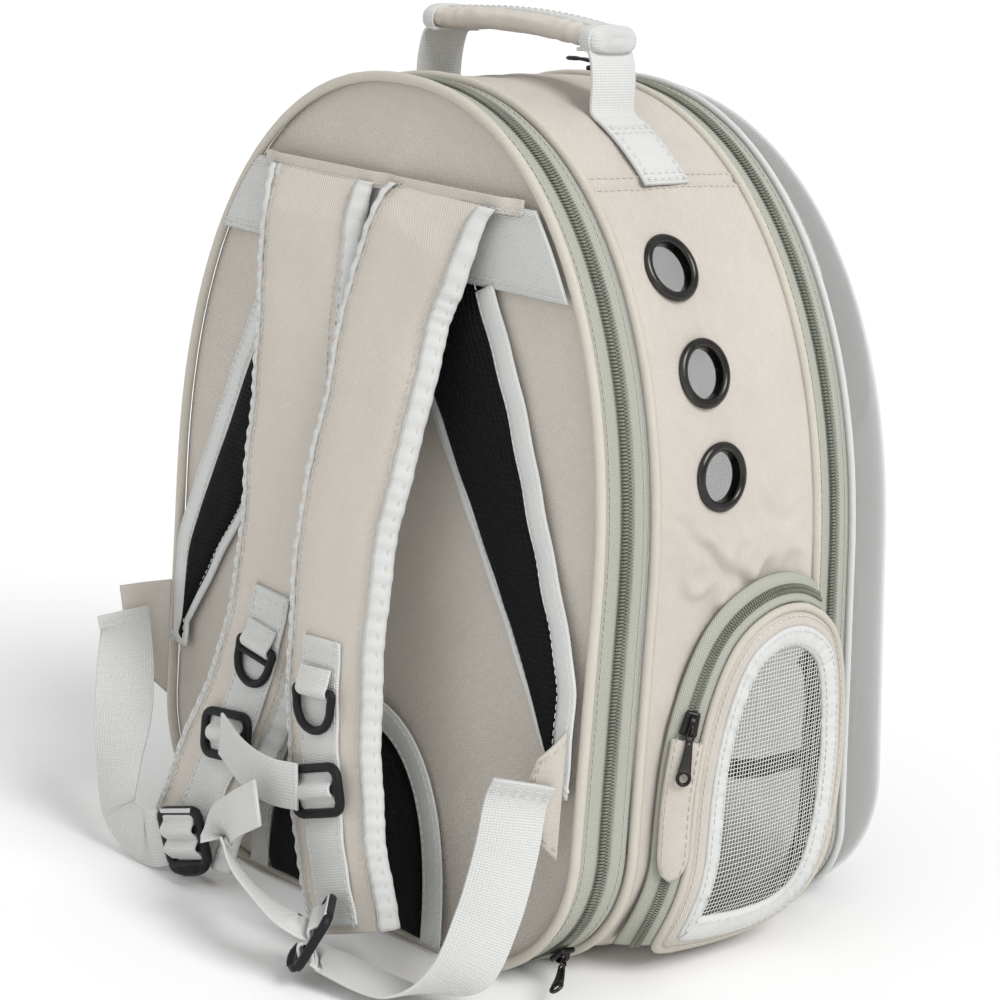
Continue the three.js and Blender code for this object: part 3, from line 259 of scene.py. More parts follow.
def cloth_uv(grid, wrap_u, wrap_v):
    """Cloth lengths along both grid directions: running sums of the mean step, in metres."""
    g = np.concatenate([grid, grid[:1]]) if wrap_u else grid
    g = np.concatenate([g, g[:, :1]], axis=1) if wrap_v else g
    du = np.linalg.norm(np.diff(g, axis=0), axis=2).max(axis=1)
    dv = np.linalg.norm(np.diff(g, axis=1), axis=2).max(axis=0)
    u = np.r_[0, np.cumsum(du)]
    v = np.r_[0, np.cumsum(dv)]
    return np.stack(np.meshgrid(u, v, indexing="ij"), axis=2)


class Piece:
    """Gathers grids and copies of small forms, and turns them into one mesh with a cloth UV map."""

    def __init__(self):
        self.points, self.quads, self.uvs, self.count = [], [], [], 0

    def grid(self, grid, wrap_u=False, wrap_v=False, caps=False, keep=None, uv=None):
        """Quads between neighbours of a grid of points, with its ends closed by a fan where asked."""
        grid = np.asarray(grid, float)
        nu, nv = grid.shape[:2]
        cloth = cloth_uv(grid, wrap_u, wrap_v) if uv is None else uv
        i = np.arange(nu if wrap_u else nu - 1)
        j = np.arange(nv if wrap_v else nv - 1)
        i, j = np.meshgrid(i, j, indexing="ij")
        a, b = (i + 1) % nu, (j + 1) % nv
        faces = np.stack([i * nv + j, a * nv + j, a * nv + b, i * nv + b], axis=-1).reshape(-1, 4)
        corner = np.stack(
            [cloth[i, j], cloth[i + 1, j], cloth[i + 1, j + 1], cloth[i, j + 1]], axis=-2
        ).reshape(-1, 4, 2)
        if keep is not None:
            faces, corner = faces[keep.ravel()], corner[keep.ravel()]
        points = grid.reshape(-1, 3)
        if caps:
            middle = np.stack([grid[0].mean(axis=0), grid[-1].mean(axis=0)])
            ring = np.arange(nv)
            turn = (ring + 1) % nv
            first, last = nu * nv, nu * nv + 1
            low = np.stack([ring, turn, np.full(nv, first), np.full(nv, first)], axis=1)
            high = np.stack([turn, ring, np.full(nv, last), np.full(nv, last)], axis=1)
            high[:, :2] += (nu - 1) * nv
            faces = np.vstack([faces, low, high])
            flat = np.zeros((2 * nv, 4, 2))
            flat[:nv] = cloth[0, :1]
            flat[nv:] = cloth[-1, :1]
            corner = np.concatenate([corner, flat])
            points = np.vstack([points, middle])
        self.points.append(points)
        self.quads.append(faces + self.count)
        self.uvs.append(corner)
        self.count += len(points)
        return self

    def tube(self, rows):
        """Loops of points joined one to the next, with a fan closing each end."""
        return self.grid(rows, wrap_v=True, caps=True)

    def hoop(self, rows):
        """Loops of points joined one to the next, and the last to the first."""
        return self.grid(rows, True, True)

    def two_sided(self, top, under):
        """A sheet and its underside as one closed form: loops across the top and back below."""
        return self.tube(np.concatenate([top, under[:, ::-1]], axis=1))

    def copies(self, form, faces, places, bases):
        """A small form repeated: each copy's points are its place plus the form turned by its basis."""
        points = places[:, None, :] + np.einsum("mk,nkc->nmc", form, bases)
        n, m = points.shape[:2]
        quads = faces[None] + (np.arange(n) * m)[:, None, None]
        self.points.append(points.reshape(-1, 3))
        self.quads.append(quads.reshape(-1, 4) + self.count)
        self.uvs.append(
            np.broadcast_to(form[faces][None, :, :, :2], (n, *faces.shape, 2)).reshape(-1, 4, 2)
        )
        self.count += n * m
        return self

    def build(self, name, finish):
        """Makes the object, with its faces turned outwards by the sign of each part's own volume."""
        points = np.vstack(self.points)
        points[:, 2] = np.maximum(points[:, 2], FLOOR_CLEAR)
        faces, corners = [], []
        for quads, uv in zip(self.quads, self.uvs):
            p = points[quads]
            middle = p.reshape(-1, 3).mean(axis=0)
            cross = np.cross(p[:, 2] - p[:, 0], p[:, 3] - p[:, 1])
            flux = np.einsum("ij,ij->", p.mean(axis=1) - middle, cross)
            if flux < 0:
                quads, uv = quads[:, ::-1], uv[:, ::-1]
            faces.append(quads)
            corners.append(uv)
        faces, corners = np.vstack(faces), np.concatenate(corners)
        fan = (faces[:, 2] == faces[:, 3]) | (faces[:, 0] == faces[:, 1])
        doubled_first = faces[fan][:, 0] == faces[fan][:, 1]
        pick = np.where(doubled_first[:, None], [[1, 2, 3]], [[0, 1, 2]])
        tri = np.take_along_axis(faces[fan], pick, axis=1)
        tri_uv = np.take_along_axis(corners[fan], pick[:, :, None], axis=1)
        quads, quad_uv = faces[~fan], corners[~fan]
        loops = np.r_[quads.ravel(), tri.ravel()]
        sizes = np.r_[np.full(len(quads), 4), np.full(len(tri), 3)]
        coords = np.vstack([quad_uv.reshape(-1, 2), tri_uv.reshape(-1, 2)])
        mesh = bpy.data.meshes.new(name)
        mesh.vertices.add(len(points))
        mesh.vertices.foreach_set("co", points.ravel())
        mesh.loops.add(len(loops))
        mesh.loops.foreach_set("vertex_index", loops.astype(np.int32))
        mesh.polygons.add(len(sizes))
        mesh.polygons.foreach_set("loop_start", np.r_[0, np.cumsum(sizes)[:-1]].astype(np.int32))
        mesh.polygons.foreach_set("use_smooth", np.full(len(sizes), True))
        mesh.update(calc_edges=True)
        layer = mesh.uv_layers.new(name="cloth")
        layer.data.foreach_set("uv", coords.ravel())
        mesh.validate()
        mesh.materials.append(finish)
        piece = bpy.data.objects.new(name, mesh)
        bpy.context.scene.collection.objects.link(piece)
        return piece


def finish_piece(piece, nodes=()):
    """Rides the piece on the case, and stands it in for CAD nodes."""
    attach(piece, "root")
    if nodes:
        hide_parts(*nodes)
    return piece


def put(piece, name, finish, nodes=()):
    """Builds a gathered piece in a finish, and settles what it rides on and stands for."""
    return finish_piece(piece.build(name, finish_of(finish)), nodes)


def box_profile(width, thick, bevel, count=3):
    """A rounded rectangle's loop, centred: four quarter circles joined by straight sides."""
    a = np.linspace(0, np.pi / 2, count)
    quarter = np.stack([np.cos(a), np.sin(a)], axis=1) * bevel
    loops = []
    for k, (sx, sy) in enumerate([(1, 1), (-1, 1), (-1, -1), (1, -1)]):
        turn = np.array(
            [
                [np.cos(k * np.pi / 2), np.sin(k * np.pi / 2)],
                [-np.sin(k * np.pi / 2), np.cos(k * np.pi / 2)]
            ]
        )
        loops.append(quarter @ turn + [sx * (width / 2 - bevel), sy * (thick / 2 - bevel)])
    return np.vstack(loops)


def round_profile(radius, sides):
    """A circle's loop."""
    a = circle(sides)
    return np.stack([np.cos(a), np.sin(a)], axis=1) * radius


def frames(path, across=None, out=None, closed=False):
    """Directions across and out of a path: the given one made square to the tangent, and the other by
    cross product.
    """
    p = np.asarray(path, float)
    if closed:
        tangent = heading(p)
    else:
        tangent = unit(np.gradient(p, axis=0))
    if out is None:
        out = unit(np.cross(across, tangent))
        across = unit(np.cross(tangent, out))
    else:
        out = np.broadcast_to(out, p.shape)
        across = unit(np.cross(tangent, out))
        out = unit(np.cross(across, tangent))
    return tangent, across, out


def sweep(path, across, out, profile):
    """A profile of (across, out) pairs carried along a path: one loop of points at each place."""
    profile = np.asarray(profile, float)
    if profile.ndim == 2:
        profile = np.broadcast_to(profile, (len(path), *profile.shape))
    return path[:, None] + profile[:, :, :1] * across[:, None] + profile[:, :, 1:] * out[:, None]


def carried(path, profile, **way):
    """A profile carried along a path, in the frame that the given direction makes."""
    return sweep(path, *frames(path, **way)[1:], profile)


def tapering(half, thick, bevel):
    """A rounded rectangle for each half width along a run."""
    profile = box_profile(1, thick, bevel)
    return np.stack([np.stack([profile[:, 0] * 2 * h, profile[:, 1]], axis=1) for h in half])


def stitch_form(sizes):
    """One stitch: a bar with tapered, sunk ends, six sides round, laid along x and raised along z."""
    x = np.array([-0.5, -0.38, 0, 0.38, 0.5]) * sizes.stitch
    r = np.array([0.15, 0.45, 0.5, 0.45, 0.15]) * sizes.thread
    lift = np.array([-0.4, 0.25, 0.5, 0.25, -0.4]) * sizes.thread
    a = circle(6)
    rows = np.stack(
        [
            np.broadcast_to(x[:, None], (5, 6)), r[:, None] * np.cos(a),
            lift[:, None] + r[:, None] * np.sin(a)
        ],
        axis=2
    )
    i, j = np.meshgrid(np.arange(4), np.arange(6), indexing="ij")
    k = (j + 1) % 6
    return rows.reshape(-1, 3), np.stack(
        [i * 6 + j, (i + 1) * 6 + j, (i + 1) * 6 + k, i * 6 + k], axis=-1
    ).reshape(-1, 4)


def sew(piece, path, out, sizes, closed=False):
    """Stitches at equal steps along a path, each turned along it and lying on its outer side."""
    path = np.asarray(path, float)
    out = np.broadcast_to(out, path.shape)
    count = max(int(run_of(path) / sizes.stitch_step), 2)
    both = resample(np.hstack([path, out * 1e-4]), count, closed)
    place, out = both[:, :3], unit(both[:, 3:])
    along, _, out = frames(place, out=out, closed=closed)
    form, faces = stitch_form(sizes)
    bases = np.stack([along, np.cross(out, along), out], axis=1)
    return piece.copies(form, faces, place, bases)


# The case's own surfaces


def lean(z):
    """How much deeper the case is at a height than on average: a straight line, more than 1 below half
    height.
    """
    return 1 + LEAN * (0.5 - z / HEIGHT)


def half_and_corner(depth):
    """Half width and corner radius at a depth: a half sine of swell, and a straight run between two
    radii.
    """
    half = HALF + SWELL * np.sin(np.pi * np.clip(depth, 0, BUBBLE_START) / BUBBLE_START)
    corner = BACK_CORNER + (FRONT_CORNER - BACK_CORNER) * np.clip(depth / BUBBLE_START, 0, 1)
    return half, corner


def case_loop(depth, out=0.0, count=RING):
    """The outline at a depth: flat bottom, quarter arcs, straight sides and a superellipse arch, evenly
    spaced, moved out along its normals.
    """
    half, corner = half_and_corner(depth)
    a = np.linspace(0, np.pi / 2, 80)
    b = np.linspace(0, np.pi / 2, 400)
    flat = np.stack([np.linspace(0, half - corner, 40), np.zeros(40)], axis=1)
    arc = np.stack([half - corner + corner * np.sin(a), corner - corner * np.cos(a)], axis=1)
    rise = np.sin(b) ** (2 / ARCH_POWER)
    arch = np.stack(
        [half * np.clip(np.cos(b), 0, 1) ** (2 / ARCH_POWER), SHOULDER + (HEIGHT - SHOULDER) * rise],
        axis=1
    )
    right = resample(np.vstack([flat, arc, arch]), count // 2 + 1)
    loop = np.vstack([right, right[-2:0:-1] * [-1, 1]])
    return loop + outward(loop) * np.reshape(out, (-1, 1) if np.ndim(out) else ())


def placed(loop, depth):
    """A loop of (x, z) at a nominal depth: y falls from the back by the depth times the lean at that
    height.
    """
    x, z = loop[:, 0], np.maximum(loop[:, 1], 0.0)
    return np.stack([x, BACK_Y - depth * lean(z), z], axis=1)


def ring(profile, count=RING):
    """A ring round the case from a profile of (depth, outward) pairs."""
    return np.stack([placed(case_loop(d, o, count), d) for d, o in profile], axis=1)


def side_half(depth, z):
    """Half width at a real depth and a height: the corner arc, the straight side or the arch."""
    half, corner = half_and_corner(depth / lean(z))
    low = half - corner + np.sqrt(np.clip(corner**2 - (corner - z) ** 2, 0, None))
    share = np.clip((z - SHOULDER) / (HEIGHT - SHOULDER), 0, 1)
    sine = share ** (ARCH_POWER / 2)
    high = half * np.sqrt(np.clip(1 - sine**2, 0, 1)) ** (2 / ARCH_POWER)
    return np.where(z < corner, low, np.where(z < SHOULDER, half, high))


def side_point(side, depth, z, off):
    """A point over the side wall: the wall's place at a depth and height, moved along its normal, which
    comes from the slopes of its half width.
    """
    depth, z, off = np.broadcast_arrays(
        np.asarray(depth, float), np.asarray(z, float), np.asarray(off, float)
    )
    z = np.maximum(z, 0.0008)
    step = 0.002
    wide = side_half(depth, z)
    rise = (side_half(depth, z + step) - side_half(depth, np.maximum(z - step, 0.0004))) / (
        z + step - np.maximum(z - step, 0.0004)
    )
    run = (side_half(depth + step, z) - side_half(depth - step, z)) / (2 * step)
    normal = unit(np.stack([np.full(z.shape, 1.0), run, -rise], axis=-1))
    point = np.stack([wide, BACK_Y - depth, z], axis=-1) + normal * off[..., None]
    return point * [side, 1, 1]


def side_normal(side, depth, z):
    """The side wall's normal: the way from a point on it to the one 2 mm off it."""
    return unit(side_point(side, depth, z, 0.002) - side_point(side, depth, z, 0.0))


def door_loop(inward, count=160):
    """The door's outline as (depth, height), moved inwards along its normals."""
    table = np.array(DOOR_TABLE)
    p = np.stack([DOOR_REAR + table[:, 0] * DOOR_WIDTH, DOOR_LOW + table[:, 1] * DOOR_HEIGHT], axis=1)
    loop = resample(spline(p, 960, closed=True), count, closed=True)
    return loop + outward(loop) * inward


def door_ring(side, profile, count):
    """A ring on the door from a profile of (inward, off the wall) pairs."""
    rows = []
    for inward, off in profile:
        depth, z = door_loop(inward, count).T
        rows.append(side_point(side, depth, np.maximum(z, DOOR_FLOOR), off))
    return np.stack(rows, axis=1)


def inside_loop(points, loop):
    """True for each (depth, height) inside a closed loop: an odd count of crossings of a ray along depth.
    """
    a, b = loop, np.roll(loop, -1, axis=0)
    x, z = points[..., 0, None], points[..., 1, None]
    crosses = (a[:, 1] > z) != (b[:, 1] > z)
    at = a[:, 0] + (z - a[:, 1]) * (b[:, 0] - a[:, 0]) / np.where(
        b[:, 1] == a[:, 1], 1e-9, b[:, 1] - a[:, 1]
    )
    return ((crosses & (x < at)).sum(axis=-1) % 2) == 1


# Finishes


class Finish:
    """A node material, made one node at a time from a table of inputs."""

    def __init__(self, name, **values):
        self.material = bpy.data.materials.new(name + "_finish")
        self.material.use_nodes = True
        self.tree = self.material.node_tree
        self.shader = self.tree.nodes["Principled BSDF"]
        self.set(values)
        self.coords = self.tree.nodes.new("ShaderNodeTexCoord")
        self.uv = self.tree.nodes.new("ShaderNodeUVMap")
        self.uv.uv_map = "cloth"

    def set(self, values):
        """Sets or links the shader's own sockets."""
        for key, value in values.items():
            self.feed(self.shader.inputs[key.replace("_", " ")], value)

    def feed(self, socket, value):
        """Links a socket, or gives it a number or colour."""
        if isinstance(value, bpy.types.NodeSocket):
            self.tree.links.new(value, socket)
        elif socket.type == "RGBA":
            socket.default_value = (*value, 1)
        else:
            socket.default_value = value

    def node(self, kind, inputs, out=0, **settings):
        node = self.tree.nodes.new("ShaderNode" + kind)
        for key, value in settings.items():
            setattr(node, key, value)
        for key, value in inputs.items():
            self.feed(node.inputs[key], value)
        return node.outputs[out]

    def noise(self, scale, detail=3.0):
        return self.node(
            "TexNoise",
            {"Vector": self.coords.outputs["Object"], "Scale": scale, "Detail": detail, "Roughness": 0.55}
        )

    def ramp(self, value, low, high, first=0.0, last=1.0):
        return self.node(
            "MapRange",
            {"Value": value, "From Min": low, "From Max": high, "To Min": first, "To Max": last}
        )

    def mix(self, factor, a, b, blend="MIX"):
        node = self.tree.nodes.new("ShaderNodeMix")
        node.data_type, node.blend_type = "RGBA", blend
        for index, value in ((0, factor), (6, a), (7, b)):
            self.feed(node.inputs[index], value)
        return node.outputs[2]

    def math(self, operation, *values):
        return self.node("Math", dict(enumerate(values)), operation=operation)

    def rows(self, period, direction):
        """Parallel ribs of a given period in metres."""
        scale = 2 * np.pi / ((10 if direction == "DIAGONAL" else 20) * period)
        return self.node(
            "TexWave", {"Vector": self.uv.outputs[0], "Scale": scale, "Distortion": 0.0}, out=1,
            wave_type="BANDS", bands_direction=direction, wave_profile="SIN"
        )

    def bump(self, height, distance, strength, under=None):
        inputs = {"Height": height, "Distance": distance, "Strength": strength}
        if under is not None:
            inputs["Normal"] = under
        return self.node("Bump", inputs)

    def herringbone(self, width, period):
        """Twill lines that turn back at every width of the tape: length plus a zigzag of the distance
        across, in sine rows.
        """
        parts = self.node("SeparateXYZ", {"Vector": self.uv.outputs[0]})
        node = parts.node
        zig = self.math("PINGPONG", node.outputs[1], width)
        both = self.math("ADD", node.outputs[0], zig)
        turn = self.math("MULTIPLY", both, 2 * np.pi / period)
        return self.math("MULTIPLY_ADD", self.math("SINE", turn), 0.5, 0.5)


def cloth_finish(name, colour, light, twill=0.0015, depth=0.0003):
    """Woven cloth: diagonal twill, a fleck of single threads, broad patches of a paler colour, and a soft
    slub.
    """
    f = Finish(name, Roughness=0.86, Sheen_Weight=0.04, Sheen_Roughness=0.5, Specular_IOR_Level=0.22)
    patches = f.ramp(f.noise(14.0, 4.0), 0.36, 0.66)
    fleck = f.noise(1500.0, 2.0)
    slub = f.noise(260.0, 3.0)
    weave = f.rows(twill, "DIAGONAL")
    base = f.mix(f.math("MULTIPLY", patches, 0.6), colour, light)
    base = f.mix(f.ramp(fleck, 0.35, 0.7, 0.0, 0.22), base, shade(colour, 0.62))
    # Painted shade: the cloth is darker in the low grooves of the twill, where the bump is lowest
    base = f.mix(f.ramp(weave, 0.0, 0.65, 0.42, 0.0), base, shade(colour, 0.5))
    base = f.mix(f.ramp(slub, 0.45, 0.75, 0.0, 0.12), base, shade(light, 1.08))
    height = f.math("ADD", f.math("MULTIPLY", weave, 0.7), f.math("MULTIPLY", fleck, 0.6))
    soft = f.bump(f.noise(70.0, 3.0), 0.0012, 0.35)
    f.set({"Base Color": base, "Normal": f.bump(height, depth, 0.8, soft)})
    return f.material


def tape_finish(name, colour):
    """Herringbone tape: zigzag twill lines, painted shade between them, with a slight fleck."""
    f = Finish(name, Roughness=0.82, Sheen_Weight=0.03, Specular_IOR_Level=0.2)
    weave = f.herringbone(0.004, 0.0016)
    fleck = f.noise(1300.0, 2.0)
    # Painted shade: darker in the grooves between the herringbone's raised twill lines
    base = f.mix(f.ramp(weave, 0.0, 0.65, 0.5, 0.0), colour, shade(colour, 0.4))
    base = f.mix(f.ramp(fleck, 0.4, 0.7, 0.0, 0.18), base, shade(colour, 1.25))
    height = f.math("ADD", weave, f.math("MULTIPLY", fleck, 0.5))
    f.set({"Base Color": base, "Normal": f.bump(height, 0.0002, 0.9)})
    return f.material


def binding_finish(name, colour, period=0.0012, depth=0.00016):
    """Narrow twill binding: steep fine ribs across the tape with soiling along its length."""
    f = Finish(name, Roughness=0.8, Sheen_Weight=0.03, Specular_IOR_Level=0.22)
    weave = f.rows(period, "DIAGONAL")
    cross = f.rows(period * 0.62, "X")
    fleck = f.noise(1400.0, 2.0)
    soil = f.ramp(f.noise(45.0, 3.0), 0.4, 0.7, 0.0, 0.22)
    # Painted shade: darker in the low grooves between the twill ribs
    base = f.mix(f.ramp(weave, 0.0, 0.6, 0.2, 0.0), colour, shade(colour, 0.55))
    base = f.mix(soil, base, shade(colour, 0.84))
    base = f.mix(f.ramp(fleck, 0.4, 0.75, 0.0, 0.16), base, shade(colour, 0.6))
    height = f.math("ADD", weave, f.math("MULTIPLY", cross, 0.5))
    f.set({"Base Color": base, "Normal": f.bump(height, depth, 0.8)})
    return f.material


def webbing_finish(name, colour, rib=0.0014, line=0.0016, depth=0.0004):
    """Ribbed webbing: rows of round knuckles, product of sines along and across, with painted shade
    between.
    """
    f = Finish(name, Roughness=0.78, Sheen_Weight=0.03, Specular_IOR_Level=0.22)
    knuckle = f.math("MULTIPLY", f.rows(rib, "X"), f.rows(line, "Y"))
    fleck = f.noise(1600.0, 2.0)
    # Painted shade: darker in the low hollows between the knuckles
    base = f.mix(f.ramp(knuckle, 0.0, 0.35, 0.3, 0.0), colour, shade(colour, 0.42))
    base = f.mix(f.ramp(fleck, 0.4, 0.75, 0.0, 0.2), base, shade(colour, 0.65))
    f.set({"Base Color": base, "Normal": f.bump(knuckle, depth, 0.9)})
    return f.material


def spacer_finish(name, colour):
    """Spacer mesh: a close grid of round holes, painted shade inside, with fine threads standing proud
    between.
    """
    f = Finish(name, Roughness=0.8, Specular_IOR_Level=0.2)
    holes = f.node("TexVoronoi", {"Vector": f.uv.outputs[0], "Scale": 330.0, "Randomness": 0.22})
    thread = f.ramp(holes, 0.22, 0.52)
    fleck = f.noise(1500.0, 2.0)
    # Painted shade: the sunken holes are darker inside than the threads between them
    base = f.mix(thread, shade(colour, 0.12), shade(colour, 1.2))
    base = f.mix(f.ramp(fleck, 0.45, 0.7, 0.0, 0.3), base, shade(colour, 2.4))
    f.set({"Base Color": base, "Normal": f.bump(thread, 0.0009, 0.9)})
    return f.material


def plastic_finish(name, colour, rough=0.42):
    """Moulded plastic: a fine spark-eroded grain, rubbed paler on its edges."""
    f = Finish(name, Specular_IOR_Level=0.16)
    grain = f.noise(2200.0, 2.0)
    edge = f.ramp(f.node("NewGeometry", {}, out="Pointiness"), 0.52, 0.62)
    base = f.mix(f.math("MULTIPLY", edge, 0.35), colour, tuple(np.array(colour) * 2.0 + 0.004))
    base = f.mix(f.ramp(f.noise(60.0), 0.4, 0.7, 0.0, 0.25), base, shade(colour, 0.6))
    f.set({"Base Color": base, "Roughness": f.ramp(grain, 0.3, 0.7, rough - 0.07, rough + 0.1),
           "Normal": f.bump(grain, 0.00004, 0.4)})
    return f.material


def metal_finish(name, colour, rough=0.2):
    """Dark plating: patchy polish, bare and brighter where edges rub."""
    f = Finish(name, Metallic=1.0)
    cloud = f.noise(90.0, 4.0)
    edge = f.ramp(f.node("NewGeometry", {}, out="Pointiness"), 0.54, 0.7)
    base = f.mix(f.ramp(cloud, 0.35, 0.7), colour, shade(colour, 1.5))
    base = f.mix(f.math("MULTIPLY", edge, 0.3), base, (0.4, 0.38, 0.36))
    f.set({"Base Color": base, "Roughness": f.ramp(cloud, 0.3, 0.7, rough - 0.04, rough + 0.14),
           "Normal": f.bump(f.noise(800.0, 2.0), 0.00004, 0.4)})
    return f.material


def coil_finish(name, colour):
    """Nylon teeth: satin, with a slow change of tone along the run and a fine darker fleck."""
    f = Finish(name, Roughness=0.36)
    tone = f.ramp(f.noise(30.0, 3.0), 0.35, 0.7)
    fine = f.noise(1100.0, 2.0)
    base = f.mix(tone, colour, shade(colour, 1.35))
    base = f.mix(f.ramp(fine, 0.4, 0.75, 0.0, 0.3), base, shade(colour, 0.5))
    f.set({"Base Color": base, "Normal": f.bump(fine, 0.00008, 0.5)})
    return f.material


def net_finish(name, colour):
    """Net threads: plain twisted yarn, with a fine twist along each and specks of tone."""
    f = Finish(name, Roughness=0.7, Sheen_Weight=0.1)
    twist = f.noise(1900.0, 2.0)
    base = f.mix(f.ramp(twist, 0.35, 0.7, 0.0, 0.35), colour, shade(colour, 0.6))
    f.set({"Base Color": base, "Normal": f.bump(twist, 0.0001, 0.6)})
    return f.material


def shell_finish(name, colour):
    """Clear moulded sheet: glossy, partly see-through, with a faint haze and a slow ripple."""
    f = Finish(name, IOR=1.46, Transmission_Weight=0.25, Coat_Weight=0.5, Coat_Roughness=0.04, Alpha=0.48)
    haze = f.noise(16.0, 3.0)
    scuff = f.noise(420.0, 4.0)
    base = f.mix(f.ramp(haze, 0.35, 0.7, 0.0, 0.4), colour, shade(colour, 0.86))
    rough = f.math("ADD", f.ramp(haze, 0.3, 0.7, 0.05, 0.1), f.ramp(scuff, 0.55, 0.75, 0.0, 0.12))
    f.set({"Base Color": base, "Roughness": rough, "Normal": f.bump(f.noise(9.0, 2.0), 0.0015, 0.25)})
    return f.material


def thread_finish(name, colour):
    """Sewing thread: two-ply twist shown by a fine fleck and a soft sheen."""
    f = Finish(name, Roughness=0.6, Sheen_Weight=0.2)
    twist = f.noise(2600.0, 1.0)
    base = f.mix(f.ramp(twist, 0.3, 0.7, 0.0, 0.4), colour, shade(colour, 0.55))
    f.set({"Base Color": base, "Normal": f.bump(twist, 0.00008, 0.5)})
    return f.material


def floor_finish(name, colour):
    """Studio floor: an even painted board with the least trace of grain."""
    f = Finish(name, Roughness=0.85)
    grain = f.noise(40.0, 4.0)
    base = f.mix(f.ramp(grain, 0.3, 0.7, 0.0, 0.02), colour, shade(colour, 0.9))
    f.set({"Base Color": base, "Normal": f.bump(grain, 0.0001, 0.2)})
    return f.material


FINISHES = {
    # The straps' and handle grip's cloth is the case cloth made lighter by 1.12: painted light
    "case_cloth": lambda n, c: cloth_finish(n, c.case, c.case_light), "strap_cloth": lambda n,
    c: cloth_finish(n, shade(c.case, 1.12), c.case_light), "lining": lambda n,
    c: cloth_finish(n, shade(c.tape, 0.7), shade(c.tape, 0.76), twill=0.0007, depth=0.0001),
    "piping_cloth": lambda n,
    c: cloth_finish(n, c.piping, shade(c.piping, 1.1), twill=0.0009, depth=0.0002),
    "edge_cloth": lambda n, c: cloth_finish(n, c.tape, c.tape, twill=0.0009, depth=0.00014),
    "zip_tape": lambda n, c: tape_finish(n, c.sage), "zip_coil": lambda n, c: coil_finish(n, c.coil),
    "light_tape": lambda n, c: binding_finish(n, c.tape), "grey_tape": lambda n,
    c: binding_finish(n, shade(c.webbing, 0.92), period=0.0016, depth=0.00026), "webbing": lambda n,
    c: webbing_finish(n, c.webbing), "handle_webbing": lambda n,
    c: webbing_finish(n, c.tape, rib=0.0013, line=0.0019, depth=0.0003), "spacer_mesh": lambda n,
    c: spacer_finish(n, c.mesh), "window_net": lambda n, c: net_finish(n, c.net), "dark_trim": lambda n,
    c: binding_finish(n, shade(c.mesh, 1.6)), "buckle_plastic": lambda n, c: plastic_finish(n, c.plastic),
    "gunmetal": lambda n, c: metal_finish(n, c.metal), "slider_metal": lambda n,
    c: metal_finish(n, shade(c.metal, 0.45), rough=0.28), "clear_shell": lambda n,
    c: shell_finish(n, c.shell), "thread": lambda n, c: thread_finish(n, shade(c.piping, 0.95)),
    "thread_light": lambda n, c: thread_finish(n, c.tape), "floor": lambda n, c: floor_finish(n, c.floor)
}


def finish_of(name):
    """The finish of a name, made on first use from the scene's colours."""
    made = bpy.data.materials.get(name + "_finish")
    return made or FINISHES[name](name, bpy.context.scene.carrier_colours)


# Shared shapes


def ring_frames(depth, out, count=RING):
    """Places round the case with the directions along the ring, across it towards the front, and
    outwards.
    """
    here = placed(case_loop(depth, out, count), depth)
    ahead = placed(case_loop(depth + 0.001, out, count), depth + 0.001)
    along = heading(here)
    across = unit(ahead - here)
    normal = unit(np.cross(across, along))
    normal *= np.sign(
        np.einsum("ij,ij->i", normal, placed(case_loop(depth, out + 0.002, count), depth) - here)
    )[:, None]
    return here, along, across, normal


def tooth_form():
    """One zip tooth: a six-sided bar lying across the tape, rounded down at both ends."""
    a = circle(6) + np.pi / 6
    stations = np.array([[-0.0019, 0.7], [-0.0002, 1.0], [0.0018, 0.7]])
    rows = [
        np.stack([0.00066 * s * np.cos(a), np.full(6, y), 0.0009 + 0.0009 * s * np.sin(a)], axis=1)
        for y, s in stations
    ]
    faces = [
        [i * 6 + j, (i + 1) * 6 + j, (i + 1) * 6 + (j + 1) % 6, i * 6 + (j + 1) % 6] for i in range(2)
        for j in range(6)
    ]
    faces += [[3, 2, 1, 0], [5, 4, 3, 0], [12, 13, 14, 15], [12, 15, 16, 17]]
    return np.vstack(rows), np.array(faces)


def teeth(place, along, across, out, pitch, apart, scale):
    """Two interleaved rows of teeth at equal steps along a path, one row each side of its middle."""
    rows = resample(
        np.hstack([place, along * 1e-5, across * 1e-5, out * 1e-5]), 2 * int(run_of(place) / pitch)
    )
    form, faces = tooth_form()
    piece = Piece()
    for side, first in ((-1, 0), (1, 1)):
        r = rows[first::2]
        x, y, z = (unit(r[:, k : k + 3]) for k in (3, 6, 9))
        piece.copies(form * scale, faces, r[:, :3] + y * side * apart, np.stack([x, y * side, z], axis=1))
    return piece


def route(points, across, width, count):
    """A flat webbing along a spline: a rounded rectangle whose width follows a second spline of
    directions.
    """
    path = spline(points, count)
    way = spline(across, count)
    _, side, out = frames(path, across=way)
    profile = box_profile(width, WEBBING_THICK, TAPE_BEVEL) + [0, WEBBING_THICK / 2]
    return path, side, out, sweep(path, side, out, profile)


def slab(centre, axes, size, bevel, taper=0.0):
    """A rounded block: rounded rectangles along its third axis, drawn in at both ends by the bevel."""
    x, y, z = (np.asarray(v, float) for v in axes)
    a, b, c = size
    stations = np.array(
        [-c / 2, -c / 2 + bevel * 0.3, -c / 2 + bevel, c / 2 - bevel, c / 2 - bevel * 0.3, c / 2]
    )
    shrink = np.array([bevel, bevel * 0.3, 0, 0, bevel * 0.3, bevel])
    slim = 1 - taper * (stations / c + 0.5)
    rings = []
    for s, k, t in zip(stations, shrink, slim):
        loop = box_profile(a * t - 2 * k, b - 2 * k, max(bevel - k, bevel * 0.2), 4)
        rings.append(np.asarray(centre) + loop[:, :1] * x + loop[:, 1:] * y + s * z)
    return np.stack(rings)


